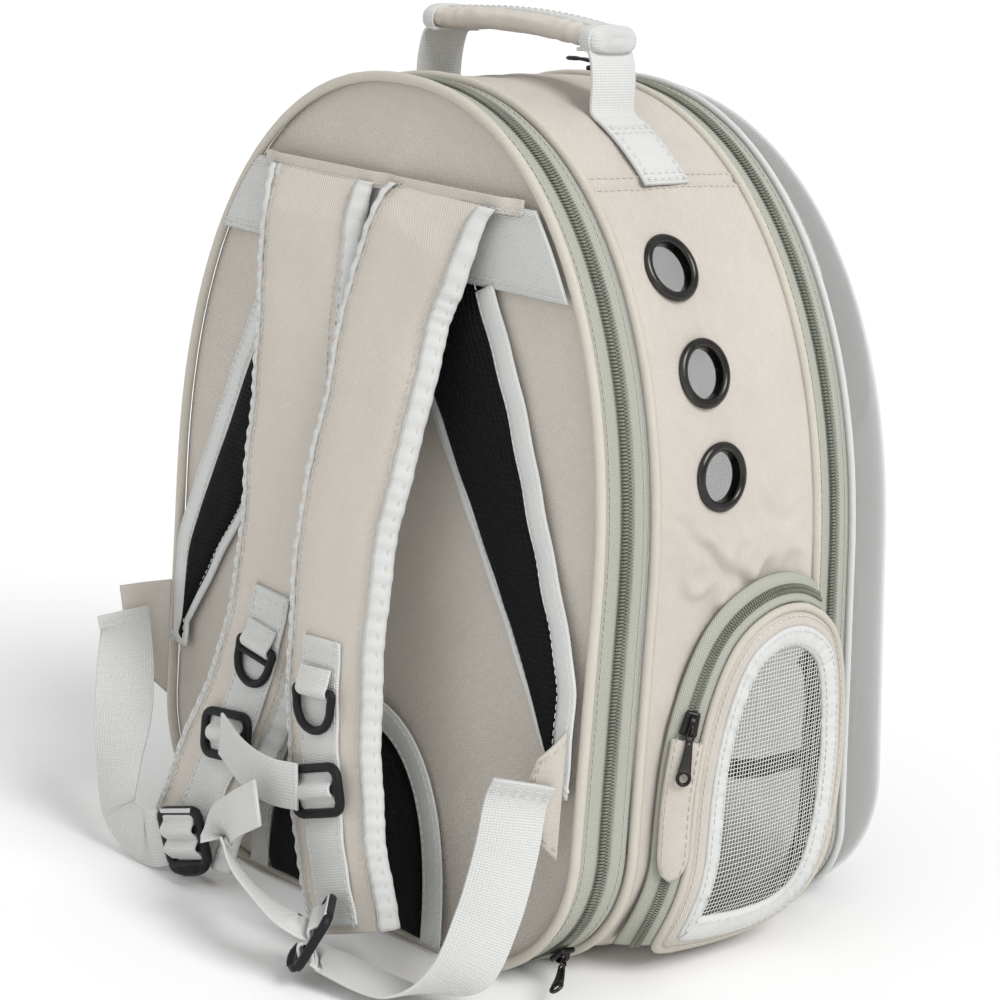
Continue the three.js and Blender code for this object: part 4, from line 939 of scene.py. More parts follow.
def rod(path, radius, sides):
    """A bent rod: circles carried round a closed path whose plane gives the frame."""
    path = np.asarray(path, float)
    normal = unit(np.cross(path[len(path) // 3] - path[0], path[2 * len(path) // 3] - path[0]))
    return carried(path, round_profile(radius, sides), out=normal, closed=True)


def plate_loop(width, height, corner):
    """A rounded rectangle's outline as evenly spaced points."""
    return resample(box_profile(width, height, corner, 8), 48, closed=True)


def framed(piece, centre, axes, width, height, corner, rail, thick, bars, bar):
    """A buckle: a rounded square-section rail round the outline, with rounded bars across it."""
    x, y, z = axes
    loop = plate_loop(width - rail, height - rail, corner)
    path = centre + loop[:, :1] * x + loop[:, 1:] * y
    piece.hoop(carried(path, box_profile(rail, thick, thick * 0.3), out=z, closed=True))
    for level in bars:
        piece.tube(
            slab(centre + y * level, (y, z, x), (bar, thick * 0.85, width - rail * 1.2), thick * 0.25)
        )
    return piece


def behind(x, away, z):
    """A point at a distance behind the back panel."""
    return np.array([x, BACK_Y + away, z])


def crowned(s, power):
    """A crown: one in the middle, and nothing at either edge."""
    return 1 - np.abs(s) ** power


# Case cloth


def seam_index(loop, height=0.390):
    """Where an outline passes the height of the cross seam, on the side of +x."""
    right = np.where(loop[:, 0] > 0, np.abs(loop[:, 1] - height), 1.0)
    return int(np.argmin(right))


def make_gusset(sizes):
    """The cloth between the two seams: rings of the outline in depth, with slack, cross seams and door
    folds as offsets along its normals.
    """
    count, rows = 720, 58
    depths = np.linspace(GUSSET_START - 0.0001, GUSSET_END + 0.0001, rows)
    base = case_loop(depths[0], 0.0, count)
    step = np.linalg.norm(base[1] - base[0])
    seam = seam_index(base)
    grid = []
    place = np.arange(count) * step
    share = (depths - depths[0]) / (depths[-1] - depths[0])
    for depth, t in zip(depths, share):
        edge = np.sin(np.pi * t) ** 0.6
        slack = soft_noise(place, np.full(count, depth), 4, 0.075) + 0.5 * soft_noise(
            place, np.full(count, depth), 9, 0.03
        )
        off = sizes.ripple * slack * edge
        for at in (seam, count - seam):
            for line in (-SEAM_STITCH, SEAM_STITCH):
                gap = np.minimum(np.abs(place - at * step - line), 0.02)
                off += 0.0006 * np.exp(-((gap / 0.0011) ** 2))
            gap = np.minimum(np.abs(place - at * step), 0.02)
            off -= 0.0007 * np.exp(-((gap / 0.0012) ** 2))
        loop = case_loop(depth, 0.0, count)
        high = loop[:, 1]
        fold = np.exp(-(((high - 0.213) / 0.026) ** 2)) * edge
        off += fold * 0.0021 * np.sin(2 * np.pi * (depth * 14 + high * 26 + 0.6 * slack))
        low = np.exp(-(((high - 0.015) / 0.02) ** 2)) * edge
        off += low * 0.0011 * np.sin(2 * np.pi * (depth * 34 + 0.8 * slack)) * (np.abs(loop[:, 0]) > 0.09)
        off = np.where(high < 0.0015, np.minimum(off, 0.0), off)
        grid.append(placed(case_loop(depth, off, count), depth))
    grid = np.stack(grid, axis=1)
    keep = np.ones((count, rows - 1), bool)
    mid = (grid + np.roll(grid, -1, axis=0))[:, :-1] / 4 + (grid + np.roll(grid, -1, axis=0))[:, 1:] / 4
    for along, up in EYELETS:
        z = up * HEIGHT
        depth = (GUSSET_START + along * GUSSET) * lean(z)
        for side in HANDS.values():
            keep &= np.linalg.norm(mid - side_point(side, depth, z, 0.0), axis=2) > EYELET_HOLE
    flat = np.stack([BACK_Y - mid[..., 1], mid[..., 2]], axis=-1)
    beside = np.abs(mid[..., 0]) > 0.1
    keep &= ~(beside & inside_loop(flat, door_loop(0.008)))
    piece = Piece()
    piece.grid(grid, wrap_u=True, keep=keep)
    gusset = piece.build("gusset_cloth", finish_of("case_cloth"))
    gusset.data.materials.append(finish_of("lining"))
    wall = gusset.modifiers.new("wall", "SOLIDIFY")
    wall.thickness, wall.offset, wall.material_offset = 0.0022, -1, 1
    finish_piece(gusset, ["gusset"])
    lines = Piece()
    for at in (seam, count - seam):
        for line in (-SEAM_STITCH, SEAM_STITCH):
            path = grid[(at + int(round(line / step))) % count]
            ahead = grid[(at + int(round(line / step)) + 1) % count]
            normal = unit(np.cross(np.gradient(path, axis=0), ahead - path))
            normal *= np.sign(np.einsum("ij,ij->i", normal, path * [1, 0, 1] - [0, 0, 0.2]))[:, None]
            sew(lines, path + normal * 0.0002, normal, sizes)
    put(lines, "gusset_seam_stitches", "thread")


def make_back_panel(sizes):
    """The padded back: outlines drawn in towards the middle, crowned by one less the sixth power of that
    share, with a flat inner face.
    """
    inset = 0.0022
    loop = case_loop(0, -inset, 360)
    loop[:, 1] = np.maximum(loop[:, 1], inset)
    centre = np.array([0, 0.215])
    share = np.r_[np.sin(np.linspace(0, np.pi / 2, 44)), 1.0, 0.985, 0.5, 0.0]
    face = np.r_[np.full(44, 1.0), np.full(4, 0.0)]
    rows = []
    for s, f in zip(share, face):
        flat = centre + (loop - centre) * s
        puff = sizes.panel_crown * (1 - s**6) * f
        slack = 0.0006 * soft_noise(flat[:, 0], flat[:, 1], 21, 0.06) * (1 - s**8) * f
        away = np.where(f > 0, -0.0052 + puff + slack, -0.0075)
        rows.append(np.stack([flat[:, 0], BACK_Y + away, flat[:, 1]], axis=1))
    grid = np.stack(rows)
    uv = np.concatenate([grid, grid[:, :1]], axis=1)[..., [0, 2]]
    put(
        Piece().grid(grid, wrap_v=True, uv=uv), "back_panel_cloth", "case_cloth",
        ["back_panel"]
    )


def panel_half(z):
    """Half width of the back panel at a height."""
    loop = case_loop(0, -0.0031, 800)[:401]
    return np.interp(z, loop[:, 1], loop[:, 0])


def make_yoke(sizes):
    """The twill band across the shoulders: a ruled sheet between two heights, standing out a little along
    its middle, with the panel cloth folded over its top.
    """
    z = np.linspace(YOKE_LOW, YOKE_TOP, 18)
    s = np.linspace(-1, 1, 90)
    t = (z - YOKE_LOW) / 0.040
    rise = 0.0010 + 0.0012 * np.sin(np.pi * t) ** 0.5
    rows = []
    for height, r in zip(z, rise):
        half = panel_half(height) - 0.001
        x = s * half
        slack = 0.0004 * soft_noise(x, np.full(len(x), height), 31, 0.05)
        sag = 0.0008 * np.cos(np.pi * s / 2)
        rows.append(np.stack([x, BACK_Y + r + slack, height - sag], axis=1))
    top = np.stack(rows)
    under = top - [0, 0.0022, 0]
    grid = np.concatenate([top, under[::-1]])
    yoke = Piece().grid(grid, wrap_u=True)
    yoke.grid(np.stack([top[:, 0], under[:, 0]])).grid(np.stack([top[:, -1], under[:, -1]]))
    put(yoke, "yoke_band_cloth", "grey_tape", ["yoke_band"])
    lines = Piece()
    for k in (1, 2, 15, 16):
        sew(lines, top[k] + [0, 0.0002, 0], (0, 1, 0), sizes)
    x = np.linspace(-1, 1, 160) * (panel_half(0.3805) - 0.007)
    bump = sum(1 / (1 + np.exp((np.abs(x - side * 0.0440) - 0.040) / 0.0018)) for side in HANDS.values())
    path = np.stack([x, BACK_Y + 0.0016 + 0.0034 * np.minimum(bump, 1), np.full(160, YOKE_TOP)], axis=1)
    across, out = (np.broadcast_to(way, path.shape) for way in ((0, 0, 1.0), (0, 1.0, 0)))
    fold = Piece().tube(sweep(path, across, out, box_profile(0.0080, 0.0013, 0.0005)))
    put(fold, "yoke_fold_cloth", "case_cloth")
    sew(lines, path + [0, 0.0011, -0.0016], (0, 1, 0), sizes)
    put(lines, "yoke_stitches", "thread_light")


# Seams and zips


def make_pipings():
    """Covered cords in the seams: circles carried round the case, swollen a little by the cord's lay."""
    seams = {
        "back_panel_piping": (0, PIPE, 14, "piping_cloth"),
        "rear_seam_piping": (REAR_SEAM, PIPE, 14, "piping_cloth"),
        "front_seam_piping": (FRONT_SEAM, PIPE, 14, "piping_cloth"),
        "bubble_edge_piping": (EDGE_START, EDGE_PIPE, 10, "edge_cloth"),
    }
    for name, (start, size, sides, finish) in seams.items():
        a = circle(sides)
        place = np.arange(RING)
        swell = 1 + 0.02 * np.sin(place * 0.9) + 0.03 * soft_noise(place * 0.002, place * 0.0, 12, 0.03)
        rows = [
            placed(case_loop(start + size / 2, size / 2 * np.sin(k) * swell), start + size / 2 + 0 * k)
            for k in a
        ]
        grid = np.stack(rows, axis=1)
        grid[..., 1] += -size / 2 * np.cos(a)[None] * lean(grid[..., 2])
        put(Piece().hoop(grid), name + "_cord", finish, [name])


def make_zip(name, start, sizes):
    """One zip round the case: a folded tape each side of a double row of teeth, with a stitch row near
    each outer edge.
    """
    half = BAND / 2
    top = [
        (0.0, -0.0016), (0.001, -0.0009), (0.006, -0.0008), (half - 0.0062, -0.0011),
        (half - 0.0051, -0.0004), (half - 0.0043, -0.0010), (half, -0.0013)
    ]
    other = [(BAND - d, o) for d, o in top[-2::-1]]
    low = [(BAND, -0.0028), (half, -0.0029), (0.0, -0.0028)]
    profile = [(start + d, o) for d, o in top + other + low]
    put(Piece().hoop(ring(profile, 560)), name + "_tape_cloth", "zip_tape", [name + "_tape"])
    frames_at = ring_frames(start + half, -0.0008, 1200)
    closed = [np.vstack([v, v[:1]]) for v in frames_at]
    coil = teeth(*closed, sizes.tooth_pitch, 0.0017, 1.0)
    put(coil, name + "_teeth", "zip_coil", [name + "_coil"])
    lines = Piece()
    for depth in (start + 0.0035, start + BAND - 0.0035):
        here, _, _, normal = ring_frames(depth, -0.0007)
        keep = here[:, 2] > 0.002
        first = int(np.argmax(~keep))
        here, normal, keep = (np.roll(v, -first, axis=0) for v in (here, normal, keep))
        sew(lines, here[keep], normal[keep], sizes)
    put(lines, name + "_stitches", "thread")


def make_slider(name, spot, along, across, out, pull, nodes):
    """A zip slider: a waisted body, a bridge, two small links and a long tapered pull with a ring end."""
    along, across, out = unit(np.array(along)), unit(np.array(across)), unit(np.array(out))
    pull = unit(np.asarray(pull, float))
    piece = Piece()
    piece.tube(slab(spot + out * 0.0021, (across, out, along), (0.0092, 0.0030, 0.0125), 0.0012, 0.22))
    bridge = np.array(
        [[-0.0040, 0.0034], [-0.0026, 0.0052], [0, 0.0058], [0.0026, 0.0052], [0.0042, 0.0034]]
    )
    path = spline([spot + along * a + out * b for a, b in bridge], 16)
    piece.tube(carried(path, box_profile(0.0030, 0.0012, 0.0004), across=across))
    side = unit(np.cross(pull, out))
    facing = unit(np.cross(side, pull))
    start = spot + out * 0.0052
    a = circle(18)
    for k, reach in enumerate((0.0022, 0.0060)):
        tip = side if k else facing
        loop = start + pull * reach + np.cos(a)[:, None] * pull * 0.0026 + np.sin(a)[:, None] * tip * 0.0019
        piece.hoop(rod(loop, 0.00055, sides=7))
    head = start + pull * 0.0085
    stations = np.linspace(0, 1, 12)
    profile = tapering(0.0017 + 0.0015 * stations**1.4, 0.0016, 0.0005)
    path = head + pull * (stations * 0.0150)[:, None] + facing * (
        0.0004 * np.sin(np.pi * stations)
    )[:, None]
    piece.tube(carried(path, profile, across=side))
    eye = path[-1] + pull * 0.0028
    loop = eye + np.cos(a)[:, None] * pull * 0.0032 + np.sin(a)[:, None] * side * 0.0030
    piece.hoop(rod(loop, 0.0010, sides=8))
    put(piece, name, "slider_metal", nodes)


# Eyelets and window doors


def make_eyelet(name, side, along, up, nodes):
    """A rolled metal eyelet: a profile of (radius, height) turned round the wall's own normal."""
    z = up * HEIGHT
    depth = (GUSSET_START + along * GUSSET) * lean(z)
    centre = side_point(side, depth, z, 0.0)
    out = side_normal(side, depth, z)
    axis = unit(side_point(side, depth + 0.004, z, 0.0) - centre)
    other = np.cross(out, axis)
    profile = np.array(
        [
            (0.0170, 0.0002), (0.0171, 0.0010), (0.0166, 0.0019), (0.0156, 0.0025), (0.0145, 0.0027),
            (0.0135, 0.0025), (0.0127, 0.0019), (0.0123, 0.0009), (0.0122, -0.0010), (0.0122, -0.0035),
            (0.0126, -0.0041), (0.0150, -0.0040), (0.0152, -0.0032), (0.0131, -0.0027), (0.0130, -0.0006)
        ]
    )
    a = circle(64)
    turn = np.cos(a)[:, None] * axis + np.sin(a)[:, None] * other
    grid = centre + turn[:, None] * profile[None, :, :1] + out * profile[None, :, 1:]
    put(Piece().hoop(grid), name + "_ring", "gunmetal", nodes)


def door_arc(distance, first, last, count):
    """Part of a loop outside the door, as (depth, height), between two of the 22 equal shares of its run.
    """
    loop = door_loop(distance, 660)
    index = np.linspace(first / 22 * 660, last / 22 * 660, count)
    depth, z = (np.interp(index, np.arange(660), loop[:, k]) for k in (0, 1))
    return np.stack([depth, np.maximum(z, DOOR_FLOOR)], axis=1)


def make_door(hand, sizes):
    """A bulged window door: a crowned frame ring, piping, zip, binding, net and flap, all offsets of one
    outline over the side wall.
    """
    side = HANDS[hand]
    frame_profile = [
        (0.0004, 0.0003), (0.0010, 0.0040), (0.0014, 0.0080), (0.0030, 0.0122), (0.0058, 0.0146),
        (0.0090, 0.0160), (0.0104, 0.0161), (0.0116, 0.0156), (0.0118, 0.0130), (0.0085, 0.0122),
        (0.0050, 0.0095), (0.0035, 0.0040), (0.0032, 0.0003)
    ]
    rows = door_ring(side, frame_profile, 240)
    slack = 0.0005 * soft_noise(np.arange(240) * 0.002, np.arange(240) * 0.0, 40 + side, 0.05)
    rows[:, 3:7] += side * slack[:, None, None] * [1, 0, 0]
    put(
        Piece().hoop(rows), "door_frame_cloth_" + hand, "case_cloth", ["door_frame_" + hand]
    )
    a = circle(12)
    cord = [(0.0024 + 0.0022 * np.cos(k), 0.0128 + 0.0022 * np.sin(k)) for k in a]
    put(
        Piece().hoop(door_ring(side, cord, 260)), "door_piping_cord_" + hand, "piping_cloth",
        ["door_piping_" + hand]
    )
    strip = [
        (0.0110, 0.0158), (0.0113, 0.0170), (0.0133, 0.0174), (0.0194, 0.0164), (0.0218, 0.0152),
        (0.0221, 0.0138), (0.0202, 0.0136), (0.0118, 0.0150)
    ]
    rows = door_ring(side, strip, 480)
    crinkle = soft_noise(np.arange(480) * 0.001, np.zeros(480), 90 + side, 0.009, 16)
    rows[:, 1:5] += (side * 0.0008 * crinkle[:, None] * np.array([0.4, 1, 1, 0.5]))[..., None] * [1, 0, 0]
    put(Piece().hoop(rows), "window_tape_" + hand, "light_tape", ["window_binding_" + hand])
    lines = Piece()
    for inset, off in ((0.0132, 0.01760), (0.0198, 0.0164)):
        loop = door_loop(inset, 200)
        path = side_point(side, loop[:, 0], loop[:, 1], off)
        sew(lines, path, side_normal(side, loop[:, 0], loop[:, 1]), sizes, closed=True)
    loop = door_loop(0.0062, 200)
    path = side_point(side, loop[:, 0], loop[:, 1], 0.0153)
    sew(lines, path, side_normal(side, loop[:, 0], loop[:, 1]), sizes, closed=True)
    put(lines, "window_stitches_" + hand, "thread_light")

    # Net: warp threads at steps of depth and weft threads at steps of height, clipped by the binding's loop
    edge = door_loop(0.0210, 240)
    net = Piece()
    low, high = edge.min(axis=0), edge.max(axis=0)
    fine = np.linspace(0, 1, 300)
    square = box_profile(sizes.net_thread, sizes.net_thread * 0.8, sizes.net_thread * 0.28, 2)
    for axis in (0, 1):
        for at in np.arange(low[axis] + 0.001, high[axis], sizes.net_pitch):
            line = np.empty((300, 2))
            line[:, axis] = at
            line[:, 1 - axis] = low[1 - axis] + fine * (high[1 - axis] - low[1 - axis])
            hit = np.flatnonzero(inside_loop(line, edge))
            if len(hit) < 8:
                continue
            ends = line[hit[0], 1 - axis], line[hit[-1], 1 - axis]
            run = np.linspace(*ends, max(int((ends[1] - ends[0]) / 0.0042), 3))
            wave = 0.00018 * np.cos(np.pi * (run / sizes.net_pitch + axis))
            d, z = (np.full(len(run), at), run) if axis == 0 else (run, np.full(len(run), at))
            bow = 0.0009 * np.sin(np.pi * (d - low[0]) / (high[0] - low[0])) * np.sin(
                np.pi * (z - low[1]) / (high[1] - low[1])
            )
            path = side_point(side, d, z, 0.0138 + wave + bow)
            net.grid(carried(path, square, out=side_normal(side, d, z)), False, True)
    put(net, "window_net_" + hand, "window_net", ["window_mesh_" + hand])

    # Trim inside the window and the tether band behind it
    trim = [(0.0190, 0.0112), (0.0190, 0.0124), (0.0290, 0.0112), (0.0290, 0.0100)]
    dark = Piece().tube(door_ring(side, trim, 200)[92:190])
    ends = [side_point(side, d, z, 0.0060) for d, z in ((0.078, 0.113), (0.118, 0.105), (0.164, 0.102))]
    _, _, _, rows = route(ends, [(0, 0.1, 1)] * 3, 0.010, 30)
    dark.tube(rows)
    put(dark, "window_inner_trim_" + hand, "dark_trim")

    # Zip round the rear and top of the door
    def tape_off(distance):
        """How far the door zip stands off the wall: a straight rise towards the door."""
        return 0.0034 + (distance + 0.013) / 0.0127 * 0.0086

    stations = np.linspace(-0.0130, -0.0003, 9)
    rows = []
    for distance in stations:
        arc = door_arc(distance, 0, 10, 150)
        rows.append(side_point(side, arc[:, 0], arc[:, 1], tape_off(distance) + 0.0002))
    top = np.stack(rows, axis=1)
    normal = side_normal(side, arc[:, 0], arc[:, 1])[:, None]
    tape = Piece().two_sided(top, top - normal * 0.0014)
    put(tape, "door_tape_" + hand, "zip_tape", ["door_zip_" + hand])
    middle = (top[:, 4] + top[:, 5]) / 2
    along = unit(np.gradient(middle, axis=0))
    across = unit(top[:, 5] - top[:, 4])
    out = unit(np.cross(along, across))
    out *= np.sign(np.einsum("ij,ij->i", out, normal[:, 0]))[:, None]
    coil = teeth(middle, along, across, out, DOOR_TOOTH_PITCH, 0.0013, [0.72, 0.66, 0.8])
    put(coil, "door_teeth_" + hand, "zip_coil")

    # Cloth flap over the zip's lower end: a rounded tab, stitched round
    arc = np.linspace(1.55, 4.6, 40)
    s = (arc - arc[0]) / (arc[-1] - arc[0])
    width = np.clip(np.sqrt(np.clip(1 - (1 - np.clip(s * 5, 0, 1)) ** 2, 0, 1)), 0.05, 1)
    rows = []
    for share in np.linspace(-1, 1, 9):
        distance = -0.0072 + share * 0.0064 * width
        loop_d = np.empty(40)
        loop_z = np.empty(40)
        for k, shift in enumerate(distance):
            spot = door_arc(shift, arc[k], arc[k], 1)[0]
            loop_d[k], loop_z[k] = spot
        puff = 0.0009 * (1 - share**2) + 0.0040 + 0.0003 * np.sin(9 * s)
        rows.append(side_point(side, loop_d, loop_z, tape_off(distance) + puff))
    top = np.stack(rows, axis=1)
    normal = unit(np.cross(top[20, 8] - top[20, 0], top[30, 4] - top[10, 4]))
    normal *= np.sign(normal[0] * side)
    flap = Piece().two_sided(top, top - normal * 0.0016)
    for column in (1, 7):
        sew(flap, top[3:, column] + normal * 0.0002, normal, sizes)
    put(flap, "door_flap_cloth_" + hand, "case_cloth", ["door_flap_" + hand])

    # Slider part-way up the rear side
    index = int(np.argmin(np.abs(middle[: len(middle) // 2, 2] - 0.335 * HEIGHT)))
    make_slider(
        "door_slider_" + hand, middle[index], along[index], across[index], out[index],
        (0.05 * side, 0.16, -1), ["door_zip_slider_" + hand]
    )


# Back pads and wings


def quilted(outline_in, outline_out, crown, count, seed):
    """A pad ruled between two edges and crowned across: heights fall to the sewn edges by a power of the
    distance from its middle.
    """
    s = np.linspace(-1, 1, 23)
    inner, outer = resample(outline_in, count), resample(outline_out, count)
    along = np.linspace(0, 1, count)
    ends = 1 - np.abs(2 * along - 1) ** 14
    rows = []
    for k in s:
        flat = inner * (1 - k) / 2 + outer * (1 + k) / 2
        puff = crown * crowned(k, 5) * ends
        slack = 0.0004 * soft_noise(flat[:, 0], flat[:, 1], seed, 0.03) * crowned(k, 6)
        rows.append(np.stack([flat[:, 0], BACK_Y + PAD_SEAT + puff + slack, flat[:, 1]], axis=1))
    top = np.stack(rows, axis=1)
    under = top.copy()
    under[..., 1] = BACK_Y + PAD_SEAT - 0.0006
    return Piece().two_sided(top, under)


def ribbon(path, out, width, thick, bend):
    """A flat tape along an edge: a rounded rectangle lying on the surface, bent over the edge by the
    given drop.
    """
    profile = box_profile(width, thick, thick * 0.4)
    drop = bend * np.abs(profile[:, :1] / width * 2) ** 2
    return carried(path, profile - np.hstack([np.zeros_like(drop), drop]), out=out)


LEG_IN = [(5, 339), (40, 277), (74, 224), (105, 176), (130, 133), (147, 108)]
LEG_OUT = [(77, 339), (102, 290), (122, 240), (148, 172), (151, 140), (150, 110)]


def make_pads(sizes):
    """The mesh pads: two legs from the shoulders to the sides, and an arch at the foot, each bound along
    its edges.
    """
    for hand, side in HANDS.items():
        inner = spline(np.array(LEG_IN) * MM * [side, 1], 80)
        outer = spline(np.array(LEG_OUT) * MM * [side, 1], 80)
        for edge in (inner, outer):
            limit = panel_half(edge[:, 1]) - 0.0012
            edge[:, 0] = side * np.minimum(np.abs(edge[:, 0]), limit)
        inner, outer = resample(inner, 90), resample(outer, 90)
        cross = unit(outer - inner)
        pad = quilted(inner + cross * 0.0030, outer - cross * 0.0100, sizes.pad_crown, 90, 50 + side)
        put(pad, "mesh_pad_cloth_" + hand, "spacer_mesh", ["mesh_pad_" + hand])
        tape, lines = Piece(), Piece()
        wave = 0.0003 * np.sin(np.arange(90) * 0.5)
        for edge, width, shift, sewn in (
            (inner, 0.0062, 0.0030, (0.0042,)), (outer, 0.0125, -0.0062, (-0.0018, -0.0105))
        ):
            line = edge + cross * shift
            path = np.stack([line[:, 0], BACK_Y + 0.0027 + wave, line[:, 1]], axis=1)
            tape.tube(ribbon(path, (0, 1, 0), width, 0.0016, 0.0012))
            for gap in sewn:
                row = edge + cross * gap
                path = np.stack([row[:, 0], BACK_Y + 0.0033 + wave, row[:, 1]], axis=1)
                sew(lines, path, (0, 1, 0), sizes)
        put(tape, "mesh_pad_tape_" + hand, "light_tape")
        put(lines, "mesh_pad_stitches_" + hand, "thread_light")
    low, half, high = 0.0041, 0.074, 0.122

    def arch_line(grow):
        """The arch's outline: half widths by the cosine and heights by the sine of an angle, each to the
        power 0.8.
        """
        a = np.linspace(0, np.pi, 80)
        x = (half + grow) * rounded(np.cos(a), 0.8)
        return np.stack([x, low + (high + grow - low) * np.sin(a) ** 0.8], axis=1)

    edge = arch_line(-0.0146)
    base = np.stack([edge[:, 0] * 0.99, np.full(80, low)], axis=1)
    pad = quilted(base, edge, sizes.pad_crown, 80, 60)
    put(pad, "arch_pad_cloth", "spacer_mesh", ["arch_pad"])
    line = arch_line(-0.007)
    path = np.stack([line[:, 0], np.full(80, BACK_Y + 0.0032), line[:, 1]], axis=1)
    band = Piece().tube(ribbon(path, (0, 1, 0), 0.0140, 0.0013, 0.0006))
    put(band, "arch_band", "grey_tape", ["arch_pad_binding"])
    lines = Piece()
    for grow in (-0.0025, -0.0115):
        line = arch_line(grow)[3:-3]
        path = np.stack([line[:, 0], np.full(len(line), BACK_Y + 0.0039), line[:, 1]], axis=1)
        sew(lines, path, (0, 1, 0), sizes)
    put(lines, "arch_stitches", "thread_light")


WING_TIPS = {
    "left": [(-0.96, 22, 0.305), (-0.86, 20, 0.225)], "right": [(1.03, 32, 0.325), (0.98, 30, 0.235)]
}


def wing_corners(hand):
    """A wing's corners: two on the panel's edge, and the two ends of its tip."""
    side = HANDS[hand]
    upper, lower = (behind(x * HALF, a * MM, z * HEIGHT) for x, a, z in WING_TIPS[hand])
    roots = [behind(side * (panel_half(z) - 0.002), 0.005, z) for z in (0.33 * HEIGHT, 0.18 * HEIGHT)]
    return roots[0], upper, lower, roots[1]


def wing_frame(hand):
    """Directions along a wing's tip and off it in its plane, and the tip's middle."""
    root_up, upper, lower, root_low = wing_corners(hand)
    edge = unit(upper - lower)
    off = upper + lower - root_up - root_low
    off = unit(off - edge * np.dot(off, edge))
    return edge, off, (upper + lower) / 2


def make_wings(sizes):
    """The cloth triangles that hold the straps' lower webbing: a bilinear patch, billowed along its
    middle, stitched round.
    """
    for hand, side in HANDS.items():
        root_up, upper, lower, root_low = wing_corners(hand)
        u, v = np.meshgrid(np.linspace(0, 1, 26), np.linspace(0, 1, 26), indexing="ij")
        u, v = u[..., None], v[..., None]
        patch = (root_up * (1 - u) + upper * u) * (1 - v) + (root_low * (1 - u) + lower * u) * v
        normal = unit(np.cross(upper - root_low, lower - root_up))
        normal *= np.sign(normal[0] * side)
        billow = 0.0016 * np.sin(np.pi * u) * np.sin(np.pi * v) + 0.0009 * np.sin(
            7 * v + 3 * u
        ) * u * (1 - u) * 4
        top = patch + normal * (0.0016 + billow)
        wing = Piece().two_sided(top, top - normal * 0.0018)
        for row in (top[2:-1, 2], top[2:-1, -3], top[-3, 2:-2], top[-5, 2:-2]):
            sew(wing, row + normal * 0.0002, normal, sizes)
        put(wing, "anchor_wing_cloth_" + hand, "case_cloth", ["anchor_wing_" + hand])


# Shoulder straps


def strap_frame(hand, t):
    """Points and directions of a strap at shares of its run: a spline, across it and out from the back.
    """
    rows = np.array(ROUTES[hand])
    points = np.stack(
        [
            rows[:, 0] * HALF, BACK_Y + STRAP_SEAT + rows[:, 1] * (STANDOFF - STRAP_SEAT),
            rows[:, 2] * HEIGHT
        ],
        axis=1
    )
    dense = spline(points, 1401)
    tangent = unit(np.gradient(dense, axis=0))
    out = unit(np.cross((-1.0, 0, 0), tangent))
    out *= np.sign(out[:, 1:2])
    across = unit(np.cross(tangent, out))
    across *= np.sign(across[:, :1])
    at = np.asarray(t) * 1400
    pick = [
        np.stack([np.interp(at, np.arange(1401), v[:, k]) for k in range(3)], axis=-1)
        for v in (dense, tangent, across, out)
    ]
    return [pick[0]] + [unit(v) for v in pick[1:]]


def strap_half(hand, t):
    """Half the strap's width along its run: wider at the shoulder, with the shallow waves of its gathered
    edge.
    """
    wave = 0.0005 * np.sin(2 * np.pi * (t * 7 + 0.3 * HANDS[hand])) + 0.0002 * np.sin(
        2 * np.pi * (t * 23 + 0.1)
    )
    return 0.032 * (1 + 0.18 * (1 - t) ** 2) + wave


def rooted(points, t):
    """Draws the start of a strap to the yoke's top seam: heights and distances blend to the seam's by the
    square of the share left of the first tenth.
    """
    share = np.clip(1 - t / 0.11, 0, 1) ** 2
    share = share.reshape(share.shape + (1,) * (points.ndim - 2))
    points = points.copy()
    points[..., 2] += (0.3785 - points[..., 2]) * share
    points[..., 1] -= 0.0030 * share
    return points


def strap_top(s):
    """Height of the strap's face over its base, from middle to edge."""
    return STRAP_THICK * (0.40 + 0.66 * np.clip(1 - np.abs(s) ** 3.2, 0, 1) ** 0.8)


